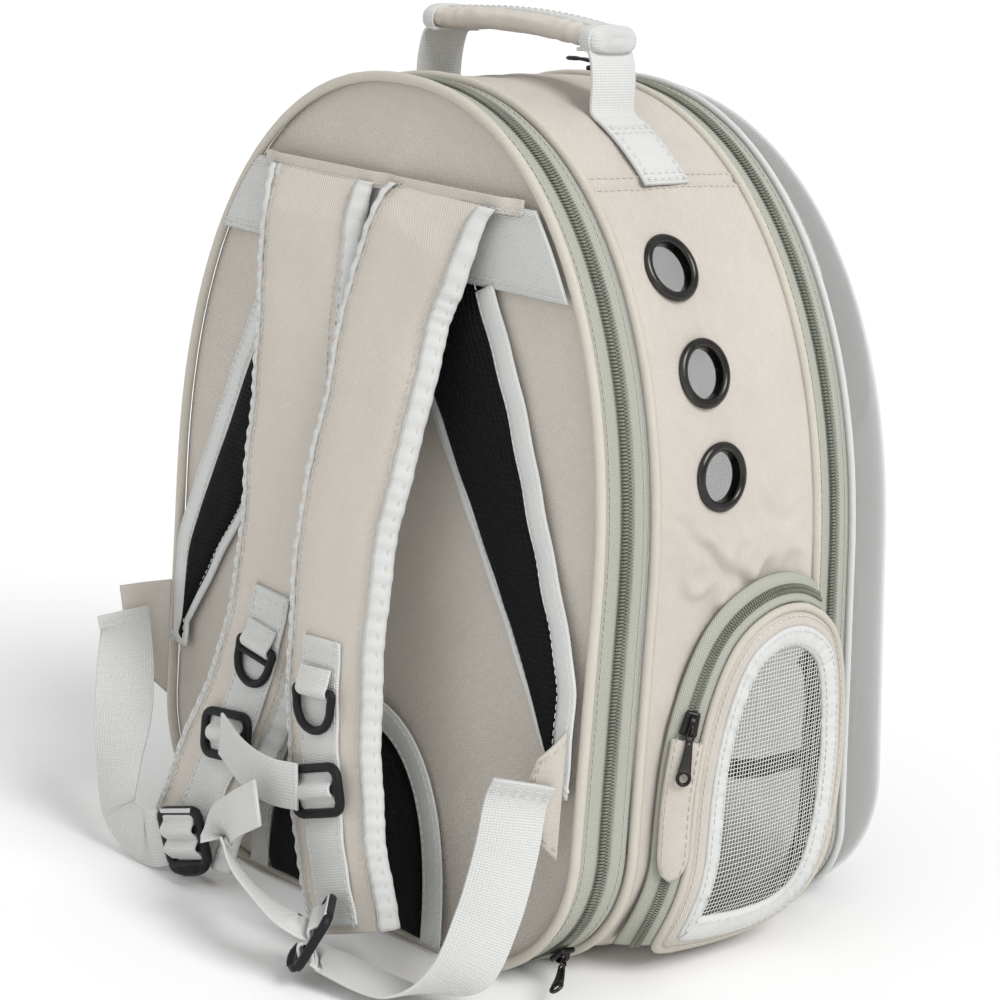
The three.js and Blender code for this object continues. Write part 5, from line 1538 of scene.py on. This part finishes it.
def make_strap(hand, sizes):
    """A padded strap: a crowned closed section along a spline, bound edges, sewn webbing down its lower
    face.
    """
    t = np.linspace(0.004, 0.996, 190)
    point, _, across, out = strap_frame(hand, t)
    half = strap_half(hand, t)
    s = np.linspace(-1, 1, 25)
    curl = 0.0025 * np.exp(-((t / 0.09) ** 2))
    flat = 0.3 + 0.7 * np.clip(t / 0.07, 0, 1) ** 1.5
    rows = []
    for k in s:
        slack = 0.0005 * soft_noise(t * 0.42, np.full(190, k * 0.03), 70 + HANDS[hand], 0.05)
        pucker = -0.0006 * np.abs(k) ** 4 * (1 + np.sin(2 * np.pi * t * 46))
        lift = strap_top(k) * flat + (slack + pucker) * (abs(k) < 0.99) + curl * k * k
        rows.append(rooted(point + across * (k * half)[:, None], t) + out * lift[:, None])
    under = []
    for k in s[::-1]:
        lift = STRAP_THICK * (0.40 - 0.36 * np.clip(1 - np.abs(k) ** 3, 0, 1)) * flat + curl * k * k
        under.append(rooted(point + across * (k * half)[:, None], t) + out * lift[:, None])
    rows = np.stack(rows + under, axis=1)
    put(
        Piece().tube(rows), "shoulder_strap_pad_" + hand, "strap_cloth",
        ["shoulder_strap_" + hand]
    )

    binding = Piece()
    around = np.array(
        [
            (-0.0070, 0.0009), (-0.0038, 0.0011), (-0.0008, 0.0007), (0.0004, -0.0004), (0.0007, -0.0024),
            (0.0004, -0.0040), (-0.0014, -0.0048), (-0.0070, -0.0050), (-0.0070, -0.0036),
            (-0.0030, -0.0018), (-0.0070, -0.0004)
        ]
    )
    for side in (-1, 1):
        face = strap_top(1 - 0.0070 / 0.034)
        edge = strap_top(0.999)
        gather = 0.0004 * np.sin(2 * np.pi * t * 44 + side)[:, None]
        a = around[None, :, 0] + half[:, None] + gather * (around[None, :, 0] > -0.006)
        drop = np.where(
            around[:, 0] < -0.006, face, np.where(around[:, 0] < -0.003, (face + edge) / 2 + 0.0010, edge)
        )
        lowering = np.array([0, 0, 0, 0, 0, 0, -0.0006, -0.0009, 0, 0, 0])
        base = np.where(around[:, 1] < -0.0039, edge, drop)
        b = (around[:, 1] + base + lowering)[None] * (
            0.5 + 0.5 * flat
        )[:, None] + curl[:, None] + gather * 0.5
        grid = rooted(
            point[:, None] + across[:, None] * (side * a)[..., None], t
        ) + out[:, None] * b[..., None]
        binding.tube(grid)
    put(binding, "strap_tape_" + hand, "light_tape", ["strap_binding_" + hand])

    lines = Piece()
    for side in (-1, 1):
        for inward in (0.0055, 0.0098):
            a = half - inward
            b = (strap_top(a / half) + (0.0012 if inward < 0.007 else 0.0003)) * flat
            path = rooted(point + across * (side * a)[:, None], t) + out * (b + curl)[:, None]
            sew(lines, path[2:-2], out[2:-2], sizes)
    put(lines, "strap_stitches_" + hand, "thread")

    shift = 0.0 if hand == "left" else -0.006
    t = np.linspace(9 / 14 - 0.06, 0.982, 90)
    point, _, across, out = strap_frame(hand, t)
    ripple = 0.0003 * np.sin(t * 90)
    path = point + across * shift + out * (0.0098 + 0.0009 + ripple)[:, None]
    band = Piece().tube(sweep(path, across, out, box_profile(0.027, 0.0017, 0.0006)))
    put(band, "strap_band_" + hand, "webbing", ["strap_webbing_" + hand])
    lines = Piece()
    for side in (-1, 1):
        sew(lines, path + across * side * 0.0118 + out * 0.0010, out, sizes)
    for k in (3, 7, 40, 44):
        row = np.linspace(-0.0112, 0.0112, 12)[:, None] * across[k] + path[k] + out[k] * 0.0010
        sew(lines, row, out[k], sizes)
    put(lines, "strap_band_stitches_" + hand, "thread_light")


def strap_axes(hand, z, tilt):
    """Directions across, up and out of a strap at a height, turned by a tilt in its plane."""
    point, tangent, _, out = strap_frame(hand, np.linspace(0, 1, 800))
    k = int(np.argmin(np.abs(point[:, 2] - z)))
    up, normal = -tangent[k], out[k]
    x = np.cross(up, normal)
    x, up = x * np.cos(tilt) + up * np.sin(tilt), up * np.cos(tilt) - x * np.sin(tilt)
    return x, up, normal


def box_of(name):
    """The lowest and highest corners of a node as arrays."""
    return [np.array(corner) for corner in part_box(name)]


def make_rings(hand, sizes):
    """The D-ring in its folded webbing loop, and the sternum slider with its webbing bulging through."""
    x, up, out = strap_axes(hand, 0.315 * HEIGHT, 0.0)
    centre = sum(box_of("d_ring_" + hand)) / 2
    corners = [
        (-0.0128, 0.0096), (-0.0125, 0.0040), (-0.0116, -0.0018), (-0.0078, -0.0076), (0, -0.0102),
        (0.0078, -0.0076), (0.0116, -0.0018), (0.0125, 0.0040), (0.0128, 0.0096), (0.0064, 0.0100),
        (0, 0.0101), (-0.0064, 0.0100)
    ]
    loop = spline(np.array(corners), 56, closed=True)
    path = centre + loop[:, :1] * x + loop[:, 1:] * up
    ring = Piece().hoop(rod(path, 0.0022, sides=12))
    bar = np.linspace(-0.0118, 0.0118, 12)[:, None] * x + centre + up * 0.0042 + out * 0.0004
    if hand == "right":
        ring.tube(rod(np.vstack([bar, bar[::-1] + up * 1e-5]), 0.0016, sides=8)[:12])
    put(ring, "d_ring_bar_" + hand, "buckle_plastic", ["d_ring_" + hand])
    top = centre + up * 0.0100
    points = [
        top + up * 0.0115 - out * 0.0004, top + up * 0.0050 + out * 0.0014, top + out * 0.0032,
        top - up * 0.0036 + out * 0.0006, top - up * 0.0020 - out * 0.0024
    ]
    _, _, _, rows = route(points, [x] * 5, 0.0215, 40)
    fold = Piece().tube(rows)
    square = resample(
        [(-0.008, 0.004), (0.008, 0.004), (0.008, 0.0105), (-0.008, 0.0105)], 24, closed=True
    )
    line = top + square[:, :1] * x + square[:, 1:] * up + out * (0.0036 - (square[:, 1:] - 0.004) * 0.28)
    sew(fold, line, out, sizes, closed=True)
    put(fold, "d_ring_loop_" + hand, "webbing")

    x, up, out = strap_axes(hand, 0.2 * HEIGHT, STERNUM_TILT[hand])
    centre = sum(box_of("sternum_slider_" + hand)) / 2
    buckle = framed(Piece(), centre, (x, up, out), 0.038, 0.027, 0.0055, 0.0046, 0.0036, (0.0,), 0.0042)
    put(buckle, "sternum_buckle_" + hand, "buckle_plastic", ["sternum_slider_" + hand])
    points = [
        centre + up * 0.0125 - out * 0.0008, centre + up * 0.0058 - out * 0.0004,
        centre + up * 0.0022 + out * 0.0032, centre - up * 0.0022 + out * 0.0032,
        centre - up * 0.0058 - out * 0.0004, centre - up * 0.0125 - out * 0.0008
    ]
    _, _, _, rows = route(points, [x] * 6, 0.0255, 50)
    band = Piece().tube(rows)
    put(band, "sternum_band_" + hand, "webbing")


LOCKS = {
    "left": ((-0.372, 75.2, 0.062), (-0.32, -0.31, 0.89), (0.7, -0.71, 0)),
    "right": ((0.47, 52.4, 0.062), (0.3, 0.1, 0.95), (0.95, 0, -0.3)),
}


def lock_frame(hand):
    """A ladder lock's place, with its directions up, out and across."""
    (x, away, z), up, across = LOCKS[hand]
    up = unit(np.array(up))
    out = unit(np.cross(np.array(across), up))
    return behind(x * HALF, away * MM, z * HEIGHT), up, out, np.cross(up, out)


def make_lock(hand):
    """A ladder lock: a rounded frame with two bars, a ribbed thumb tab, and webbing woven through it."""
    centre, up, out, across = lock_frame(hand)
    centre = centre + out * 0.0023
    lock = framed(
        Piece(), centre, (across, up, out), 0.036, 0.034, 0.0046, 0.0048, 0.0046, (-0.0052, 0.0048),
        0.0046
    )
    tab = np.linspace(0, 1, 12)[:, None]
    face = -out
    line = centre - up * (0.0140 + 0.0056 * tab) + face * (0.0008 + 0.0030 * tab**1.5)
    half = 0.0160 * np.sqrt(np.clip(1 - (tab[:, 0] * 0.98) ** 2.4, 0.02, 1))
    profile = tapering(half, 0.0028, 0.0009)
    lock.tube(carried(line, profile, across=across))
    for k in (4, 6, 8):
        rib = np.linspace(-0.0095, 0.0095, 8)[:, None] * across + line[k] + face * 0.0014
        lock.tube(rod(np.vstack([rib, rib[::-1] + up * 1e-5]), 0.0005, sides=6)[:8])
    put(lock, "ladder_buckle_" + hand, "buckle_plastic", ["ladder_lock_" + hand])
    points = [
        centre + up * 0.0165 - out * 0.0012, centre + up * 0.0098 + face * 0.0002,
        centre + up * 0.0046 + face * 0.0040, centre - up * 0.0006 + face * 0.0006,
        centre - up * 0.0052 + face * 0.0040, centre - up * 0.0100 + face * 0.0004
    ]
    _, _, _, rows = route(points, [across] * 6, 0.0262, 60)
    band = Piece().tube(rows)
    put(band, "ladder_band_" + hand, "webbing")


def route_rows(rows):
    """Points of a route and the directions of its width, from shares of the case and distances behind it.
    """
    points = [behind(x * HALF, a * MM, z * HEIGHT) for x, a, z, *_ in rows]
    return points, [np.array(r[3:], float) for r in rows]


def make_webbings(sizes):
    """The free webbings: the two below the wings, the folded tail at the left buckle and the twisted band
    across the chest.
    """
    for hand, rows in (
        (
            "left",
            [
                (-0.90, 29, 0.19, 0.6, 0.8, 0.2), (-0.90, 38, 0.12, 0.7, 0.8, 0.1),
                (-0.86, 48, 0.055, 0.6, 0.9, 0.1), (-0.69, 58, 0.02, 0.1, 1, 0.1)
            ]
        ),
        (
            "right",
            [
                (0.90, 42, 0.19, 0.6, 0.75, -0.2), (0.86, 48, 0.12, 0.9, 0.2, -0.1),
                (0.82, 51, 0.06, 0.75, 0, -0.6)
            ]
        )
    ):
        edge, off, middle = wing_frame(hand)
        facing = np.cross(edge, off)
        start = middle + off * 0.003 - facing * np.sign(facing[0]) * 0.0036
        points, ways = route_rows(rows)
        centre, up, out, across = lock_frame(hand)
        if hand == "left":
            low = centre - up * 0.0085
            last = [low + out * (0.0046 + d) for d in (0.012, 0.0003)]
            turn = [-across] * 2
        else:
            last = [centre + across * (0.018 + d) + out * 0.0032 for d in (0.018, 0.0009)]
            turn = [-up] * 2
        points = [start + edge * 0.007, start - edge * 0.007] + points + last
        ways = [off] * 2 + ways + turn
        _, side, normal, grid = route(points, ways, LOWER_WIDTH, 110)
        band = Piece().tube(grid)
        inner = spline(points, 110)
        lines = Piece()
        for k in (4, 9):
            row = inner[k] + np.linspace(-0.013, 0.013, 12)[:, None] * side[k] + normal[k] * 0.0018
            sew(lines, row, normal[k], sizes)
        put(lines, "lower_band_stitches_" + hand, "thread_light")
        band = put(band, "lower_band_" + hand, "webbing", ["lower_webbing_" + hand])
    centre, up, out, across = lock_frame("left")
    points, ways = route_rows([
        (-0.14, 82, 0.09, 0, 1, 0.7), (0.02, 74, 0.1, 0, 0.8, 1), (0.1, 74, 0.125, 0.5, 0.2, 1),
        (0.02, 78, 0.155, 0.6, -0.3, 1), (-0.1, 78, 0.185, 0.6, -0.3, 1),
    ])
    points = [centre + out * -0.0003, centre - out * 0.012] + points
    ways = [-across] * 2 + ways
    path, _, _, grid = route(points, ways, TAIL_WIDTH, 110)
    band = put(Piece().tube(grid), "tail_band", "webbing", ["tail_webbing"])
    points, ways = route_rows(
        [
            (0.36, 44.3, 0.205, 0.1, 0, 1), (0.16, 55, 0.195, 0.1, 0, 1), (-0.02, 61, 0.195, 0.1, 0, 1),
            (-0.15, 59.5, 0.2, 0.1, 0, 1)
        ]
    )
    path, _, _, grid = route(points, ways, TAIL_WIDTH, 70)
    band = put(Piece().tube(grid), "sternum_strap_band", "webbing", ["sternum_webbing"])


# Handle


def make_handle(sizes):
    """The carrying handle: webbing sewn down the arch on both sides, a padded grip with a ribbed strip on
    top, and wrapped ends.
    """
    depth = HANDLE_DEPTH / lean(HEIGHT)
    loop = case_loop(depth, 0.0012, 1600)[400:801][::-1]
    y = BACK_Y - HANDLE_DEPTH

    def under(x):
        """Height of the grip's underside: a shallow arc."""
        return GRIP_LOW - 0.0036 * (x / GRIP_HALF) ** 2

    for hand, side in HANDS.items():
        x = 0.062 + 0.040 * np.linspace(1, 0.06, 10)
        order = np.argsort(loop[:, 0])
        z = np.interp(x, loop[order, 0], loop[order, 1])
        foot = z[-1]
        xs = np.r_[x, 0.0615, 0.0608, 0.0575, 0.050]
        zs = np.r_[
            z, foot + 0.004, (foot + GRIP_LOW) / 2 + 0.001, under(0.0575) - 0.0012, under(0.050) - 0.0012
        ]
        path = np.stack([side * xs, np.full(len(xs), y), zs], axis=1)
        path = resample(spline(path, 160), 120)
        _, across, out = frames(path, across=(0, 1.0, 0))
        out *= np.sign(out[10, 2])
        profile = box_profile(0.031, 0.0018, 0.0006) + [0, 0.0009]
        band = Piece().tube(sweep(path, across, out, profile))
        patch = resample(path[:62], 40)
        _, side_way, up_way = frames(patch, across=(0, 1.0, 0))
        up_way *= np.sign(up_way[5, 2])
        band.tube(
            sweep(
                patch[1:-6] + up_way[1:-6] * 0.0012, side_way[1:-6], up_way[1:-6],
                box_profile(0.030, 0.0016, 0.0006)
            )
        )
        put(band, "handle_band_" + hand, "handle_webbing", ["handle_webbing_" + hand])
        lines = Piece()
        for k in (-0.0125, 0.0125):
            sew(lines, patch[2:-7] + side_way[2:-7] * k + up_way[2:-7] * 0.0031, up_way[2:-7], sizes)
        for row in (2, 5, 28, 31):
            sew(
                lines,
                patch[row] + np.linspace(
                    -0.0125, 0.0125, 14
                )[:, None] * side_way[row] + up_way[row] * 0.0031,
                up_way[row], sizes
            )
        put(lines, "handle_stitches_" + hand, "thread_light")

    s = np.linspace(-1, 1, 90)
    x = s * GRIP_HALF
    base = under(x)
    t = circle(40)
    end = np.clip(1 - np.abs(s) ** 26, 0.0, 1) ** 0.5
    rows = []
    for k in t:
        a = rounded(np.cos(k), 0.62) * 0.0152
        b = rounded(np.sin(k), 0.75) * 0.0056
        slack = 0.0004 * soft_noise(x, np.full(90, k * 0.02), 81, 0.02)
        crease = 0.0004 * np.sin(2 * np.pi * (s * 7 + 0.2 * np.sin(k))) * (np.abs(s) > 0.55)
        rows.append(
            np.stack(
                [
                    x, y + a * (0.9 + 0.1 * end) + slack,
                    base + 0.0058 + b * (0.8 + 0.2 * end) + slack + crease
                ],
                axis=1
            )
        )
    put(
        Piece().tube(np.stack(rows, axis=1)), "handle_grip_pad", "strap_cloth",
        ["handle_grip"]
    )
    path = np.stack([x * 0.97, np.full(90, y - 0.001), base + 0.0112], axis=1)
    _, across, out = frames(path, across=(0, 1.0, 0))
    out *= np.sign(out[10, 2])
    strip = Piece().tube(sweep(path, across, out, box_profile(0.0150, 0.0015, 0.0006)))
    for side in HANDS.values():
        a = circle(36)
        loop_y = rounded(np.cos(a), 0.6) * 0.0160
        loop_z = rounded(np.sin(a), 0.7) * 0.0065
        path = np.stack(
            [np.full(36, side * WRAP_AT), y + loop_y, under(WRAP_AT) + 0.0055 + loop_z], axis=1
        )
        strip.hoop(carried(path, box_profile(0.0068, 0.0013, 0.0005), across=(1.0, 0, 0), closed=True))
        loops = []
        for at, size in ((0.0530, 1.0), (0.0590, 1.0), (0.0612, 0.93), (0.0622, 0.7), (0.0626, 0.3)):
            loops.append(
                np.stack(
                    [np.full(36, side * at), y + loop_y * size, under(at) + 0.0058 + loop_z * size],
                    axis=1
                )
            )
        strip.tube(np.stack(loops))
    put(strip, "handle_strip", "handle_webbing")
    lines = Piece()
    path = np.stack([x * 0.9, np.full(90, y - 0.001), base + 0.0112], axis=1)
    for k in (-0.0062, 0.0062):
        sew(lines, path + [0, k, 0.0009], (0, 0, 1.0), sizes)
    put(lines, "handle_strip_stitches", "thread_light")


# Clear bubble


def make_bubble(sizes):
    """The clear dome: outlines drawn in by the cosine and pushed out by the sine of an angle, to the
    power 2 / 2.5, as a closed wall.
    """
    centre = HEIGHT / 2
    angle = np.r_[0.0, np.linspace(0.02, 1, 44) ** 0.9] * np.pi / 2 * 0.9995

    def layer(wall):
        """The dome at a wall thickness under its face, one loop for each angle."""
        base = case_loop(BUBBLE_START, -0.0004 - wall, 340)
        share = np.cos(angle) ** DOME_POWER
        rise = (BUBBLE_DEPTH - wall) * np.sin(angle) ** DOME_POWER
        rows = []
        for k, r in zip(share, rise):
            x, z = base[:, 0] * k, centre + (np.maximum(base[:, 1], 0.0004) - centre) * k
            rows.append(np.stack([x, BACK_Y - (BUBBLE_START + r) * lean(z), z], axis=1))
        return np.stack(rows)

    grid = np.concatenate([layer(sizes.shell_wall)[::-1], layer(0.0)])
    put(Piece().tube(grid), "bubble_shell", "clear_shell", ["bubble"])
    rim = [
        (BUBBLE_START - 0.0006, -0.0022), (BUBBLE_START - 0.0006, -0.0003),
        (BUBBLE_START + 0.0016, -0.0002), (BUBBLE_START + 0.0020, -0.0010),
        (BUBBLE_START + 0.0016, -0.0024)
    ]
    put(Piece().hoop(ring(rim, 420)), "bubble_rim", "piping_cloth")


# Studio


CAMERA_PLACE = (-0.9663, 1.0029, 0.5427)
CAMERA_FORWARD = (0.680, -0.694, -0.235)
CAMERA_ROLL = 4.3
CAMERA_LENS = 97.2


def make_studio():
    """Pale floor, bright surround, two broad lamps and the camera at the photograph's place and tilt."""
    corners = [(x, y, -0.0002) for x, y in ((-40, -40), (40, -40), (40, 40), (-40, 40))]
    mesh = bpy.data.meshes.new("floor")
    mesh.from_pydata(corners, [], [(0, 1, 2, 3)])
    mesh.materials.append(finish_of("floor"))
    stage = bpy.data.objects.new("floor", mesh)
    bpy.context.scene.collection.objects.link(stage)

    world = bpy.data.worlds.new("surround")
    bpy.context.scene.world = world
    world.use_nodes = True
    surround = world.node_tree.nodes["Background"].inputs
    surround["Color"].default_value = (1, 1, 1, 1)
    surround["Strength"].default_value = 0.68
    bpy.context.scene.view_settings.view_transform = "Standard"

    def lamp(name, place, angle, strength):
        """A broad lamp that shines from a place towards the middle."""
        light = bpy.data.lights.new(name, "SUN")
        light.angle, light.energy = np.radians(angle), strength
        lamp_object = bpy.data.objects.new(name, light)
        lamp_object.matrix_world = (-Vector(place)).to_track_quat("-Z", "Y").to_matrix().to_4x4()
        bpy.context.scene.collection.objects.link(lamp_object)

    lamp("key", (-1.0, 0.05, 0.95), 30, 2.0)
    lamp("fill", (-0.3, 1.0, 0.7), 70, 0.25)

    forward = Vector(CAMERA_FORWARD).normalized()
    right = forward.cross(Vector((0, 0, 1))).normalized()
    up = right.cross(forward)
    roll = np.radians(CAMERA_ROLL)
    x = right * np.cos(roll) + up * np.sin(roll)
    y = up * np.cos(roll) - right * np.sin(roll)
    camera = bpy.data.cameras.new("camera")
    camera.lens, camera.sensor_width, camera.clip_end = CAMERA_LENS, 36, 100
    viewer = bpy.data.objects.new("camera", camera)
    viewer.matrix_world = Matrix.Translation(Vector(CAMERA_PLACE)) @ Matrix(
        (x, y, -forward)
    ).transposed().to_4x4()
    bpy.context.scene.collection.objects.link(viewer)
    bpy.context.scene.camera = viewer


# Operators and panel


def sizes_of(context):
    """The scene's sizes."""
    return context.scene.carrier_sizes


class CARRIER_OT_studio(bpy.types.Operator):
    """Makes the floor, lights and camera"""

    bl_idname = "carrier.studio"
    bl_label = "Studio"

    def execute(self, context):
        make_studio()
        return {"FINISHED"}


class CARRIER_OT_case(bpy.types.Operator):
    """Makes the gusset, the padded back and the yoke band"""

    bl_idname = "carrier.case"
    bl_label = "Case cloth"

    def execute(self, context):
        sizes = sizes_of(context)
        make_gusset(sizes)
        make_back_panel(sizes)
        make_yoke(sizes)
        return {"FINISHED"}


class CARRIER_OT_seams(bpy.types.Operator):
    """Makes the pipings in the seams and the two zips round the case"""

    bl_idname = "carrier.seams"
    bl_label = "Seams and zips"

    def execute(self, context):
        sizes = sizes_of(context)
        make_pipings()
        make_zip("back_zip", BAND_START, sizes)
        make_zip("front_zip", FRONT_BAND, sizes)
        return {"FINISHED"}


class CARRIER_OT_sliders(bpy.types.Operator):
    """Makes the sliders of the zips round the case"""

    bl_idname = "carrier.sliders"
    bl_label = "Zip sliders"

    def execute(self, context):
        for name, start, pull in (
            ("back_zip_slider", BAND_START, (-0.6, 0.8, -0.13)),
            ("front_zip_slider_right", FRONT_BAND, None),
            ("front_zip_slider_left", FRONT_BAND, None),
        ):
            low, high = box_of(name)
            here, along, across, out = ring_frames(start + BAND / 2, 0.0010, 1400)
            inner = low - 0.004, high + 0.004
            near = np.all((here > inner[0]) & (here < inner[1]), axis=1)
            target = (low + high) / 2
            if name == "back_zip_slider" and target[0] > 0:
                target = np.array([high[0] - 0.010, low[1] + 0.005, 0.012])
            elif name == "back_zip_slider":
                target = np.array([low[0] + 0.006, low[1] + 0.006, high[2] - 0.004])
            distance = np.linalg.norm(here - target, axis=1) + np.where(near, 0, 0.05)
            k = int(np.argmin(distance))
            if pull is None:
                pull = along[k] * np.sign(along[k][0]) + across[k] * 0.25 + out[k] * 0.05
            make_slider(name + "_body", here[k], along[k], across[k], out[k], pull, [name])
        return {"FINISHED"}


class CARRIER_OT_eyelets(bpy.types.Operator):
    """Makes the three eyelets on each side"""

    bl_idname = "carrier.eyelets"
    bl_label = "Eyelets"

    def execute(self, context):
        for hand, side in HANDS.items():
            for k, (along, up) in enumerate(EYELETS, 1):
                name = f"eyelet_{hand}_{k}"
                make_eyelet(name, side, along, up, [name])
        return {"FINISHED"}


class CARRIER_OT_doors(bpy.types.Operator):
    """Makes the window door on each side"""

    bl_idname = "carrier.doors"
    bl_label = "Window doors"

    def execute(self, context):
        for hand in HANDS:
            make_door(hand, sizes_of(context))
        return {"FINISHED"}


class CARRIER_OT_pads(bpy.types.Operator):
    """Makes the mesh pads of the back and the wings that anchor the straps"""

    bl_idname = "carrier.pads"
    bl_label = "Back pads"

    def execute(self, context):
        make_pads(sizes_of(context))
        make_wings(sizes_of(context))
        return {"FINISHED"}


class CARRIER_OT_straps(bpy.types.Operator):
    """Makes the shoulder straps with their rings, buckles and webbings"""

    bl_idname = "carrier.straps"
    bl_label = "Shoulder straps"

    def execute(self, context):
        sizes = sizes_of(context)
        for hand in HANDS:
            make_strap(hand, sizes)
            make_rings(hand, sizes)
            make_lock(hand)
        make_webbings(sizes)
        return {"FINISHED"}


class CARRIER_OT_handle(bpy.types.Operator):
    """Makes the carrying handle"""

    bl_idname = "carrier.handle"
    bl_label = "Handle"

    def execute(self, context):
        make_handle(sizes_of(context))
        return {"FINISHED"}


class CARRIER_OT_bubble(bpy.types.Operator):
    """Makes the clear bubble"""

    bl_idname = "carrier.bubble"
    bl_label = "Clear bubble"

    def execute(self, context):
        make_bubble(sizes_of(context))
        return {"FINISHED"}


OPERATORS = (
    CARRIER_OT_studio, CARRIER_OT_case, CARRIER_OT_seams, CARRIER_OT_sliders, CARRIER_OT_eyelets,
    CARRIER_OT_doors, CARRIER_OT_pads, CARRIER_OT_straps, CARRIER_OT_handle, CARRIER_OT_bubble
)


class CARRIER_PT_panel(bpy.types.Panel):
    """Lists the pieces of the carrier with their sizes and colours"""

    bl_label = "Pet carrier backpack"
    bl_idname = "CARRIER_PT_panel"
    bl_space_type = "VIEW_3D"
    bl_region_type = "UI"
    bl_category = "Carrier"

    def draw(self, context):
        for operator in OPERATORS:
            self.layout.operator(operator.bl_idname)
        for group in (context.scene.carrier_sizes, context.scene.carrier_colours):
            box = self.layout.box()
            for name in group.bl_rna.properties.keys():
                if name not in ("rna_type", "name"):
                    box.prop(group, name)


CLASSES = (CarrierSizes, CarrierColours, *OPERATORS, CARRIER_PT_panel)


def register():
    for cls in CLASSES:
        bpy.utils.register_class(cls)
    bpy.types.Scene.carrier_sizes = bpy.props.PointerProperty(type=CarrierSizes)
    bpy.types.Scene.carrier_colours = bpy.props.PointerProperty(type=CarrierColours)


def unregister():
    del bpy.types.Scene.carrier_sizes
    del bpy.types.Scene.carrier_colours
    for cls in reversed(CLASSES):
        bpy.utils.unregister_class(cls)


def main():
    register()
    for operator in OPERATORS:
        group, name = operator.bl_idname.split(".")
        getattr(getattr(bpy.ops, group), name)()


if __name__ == "__main__":
    main()
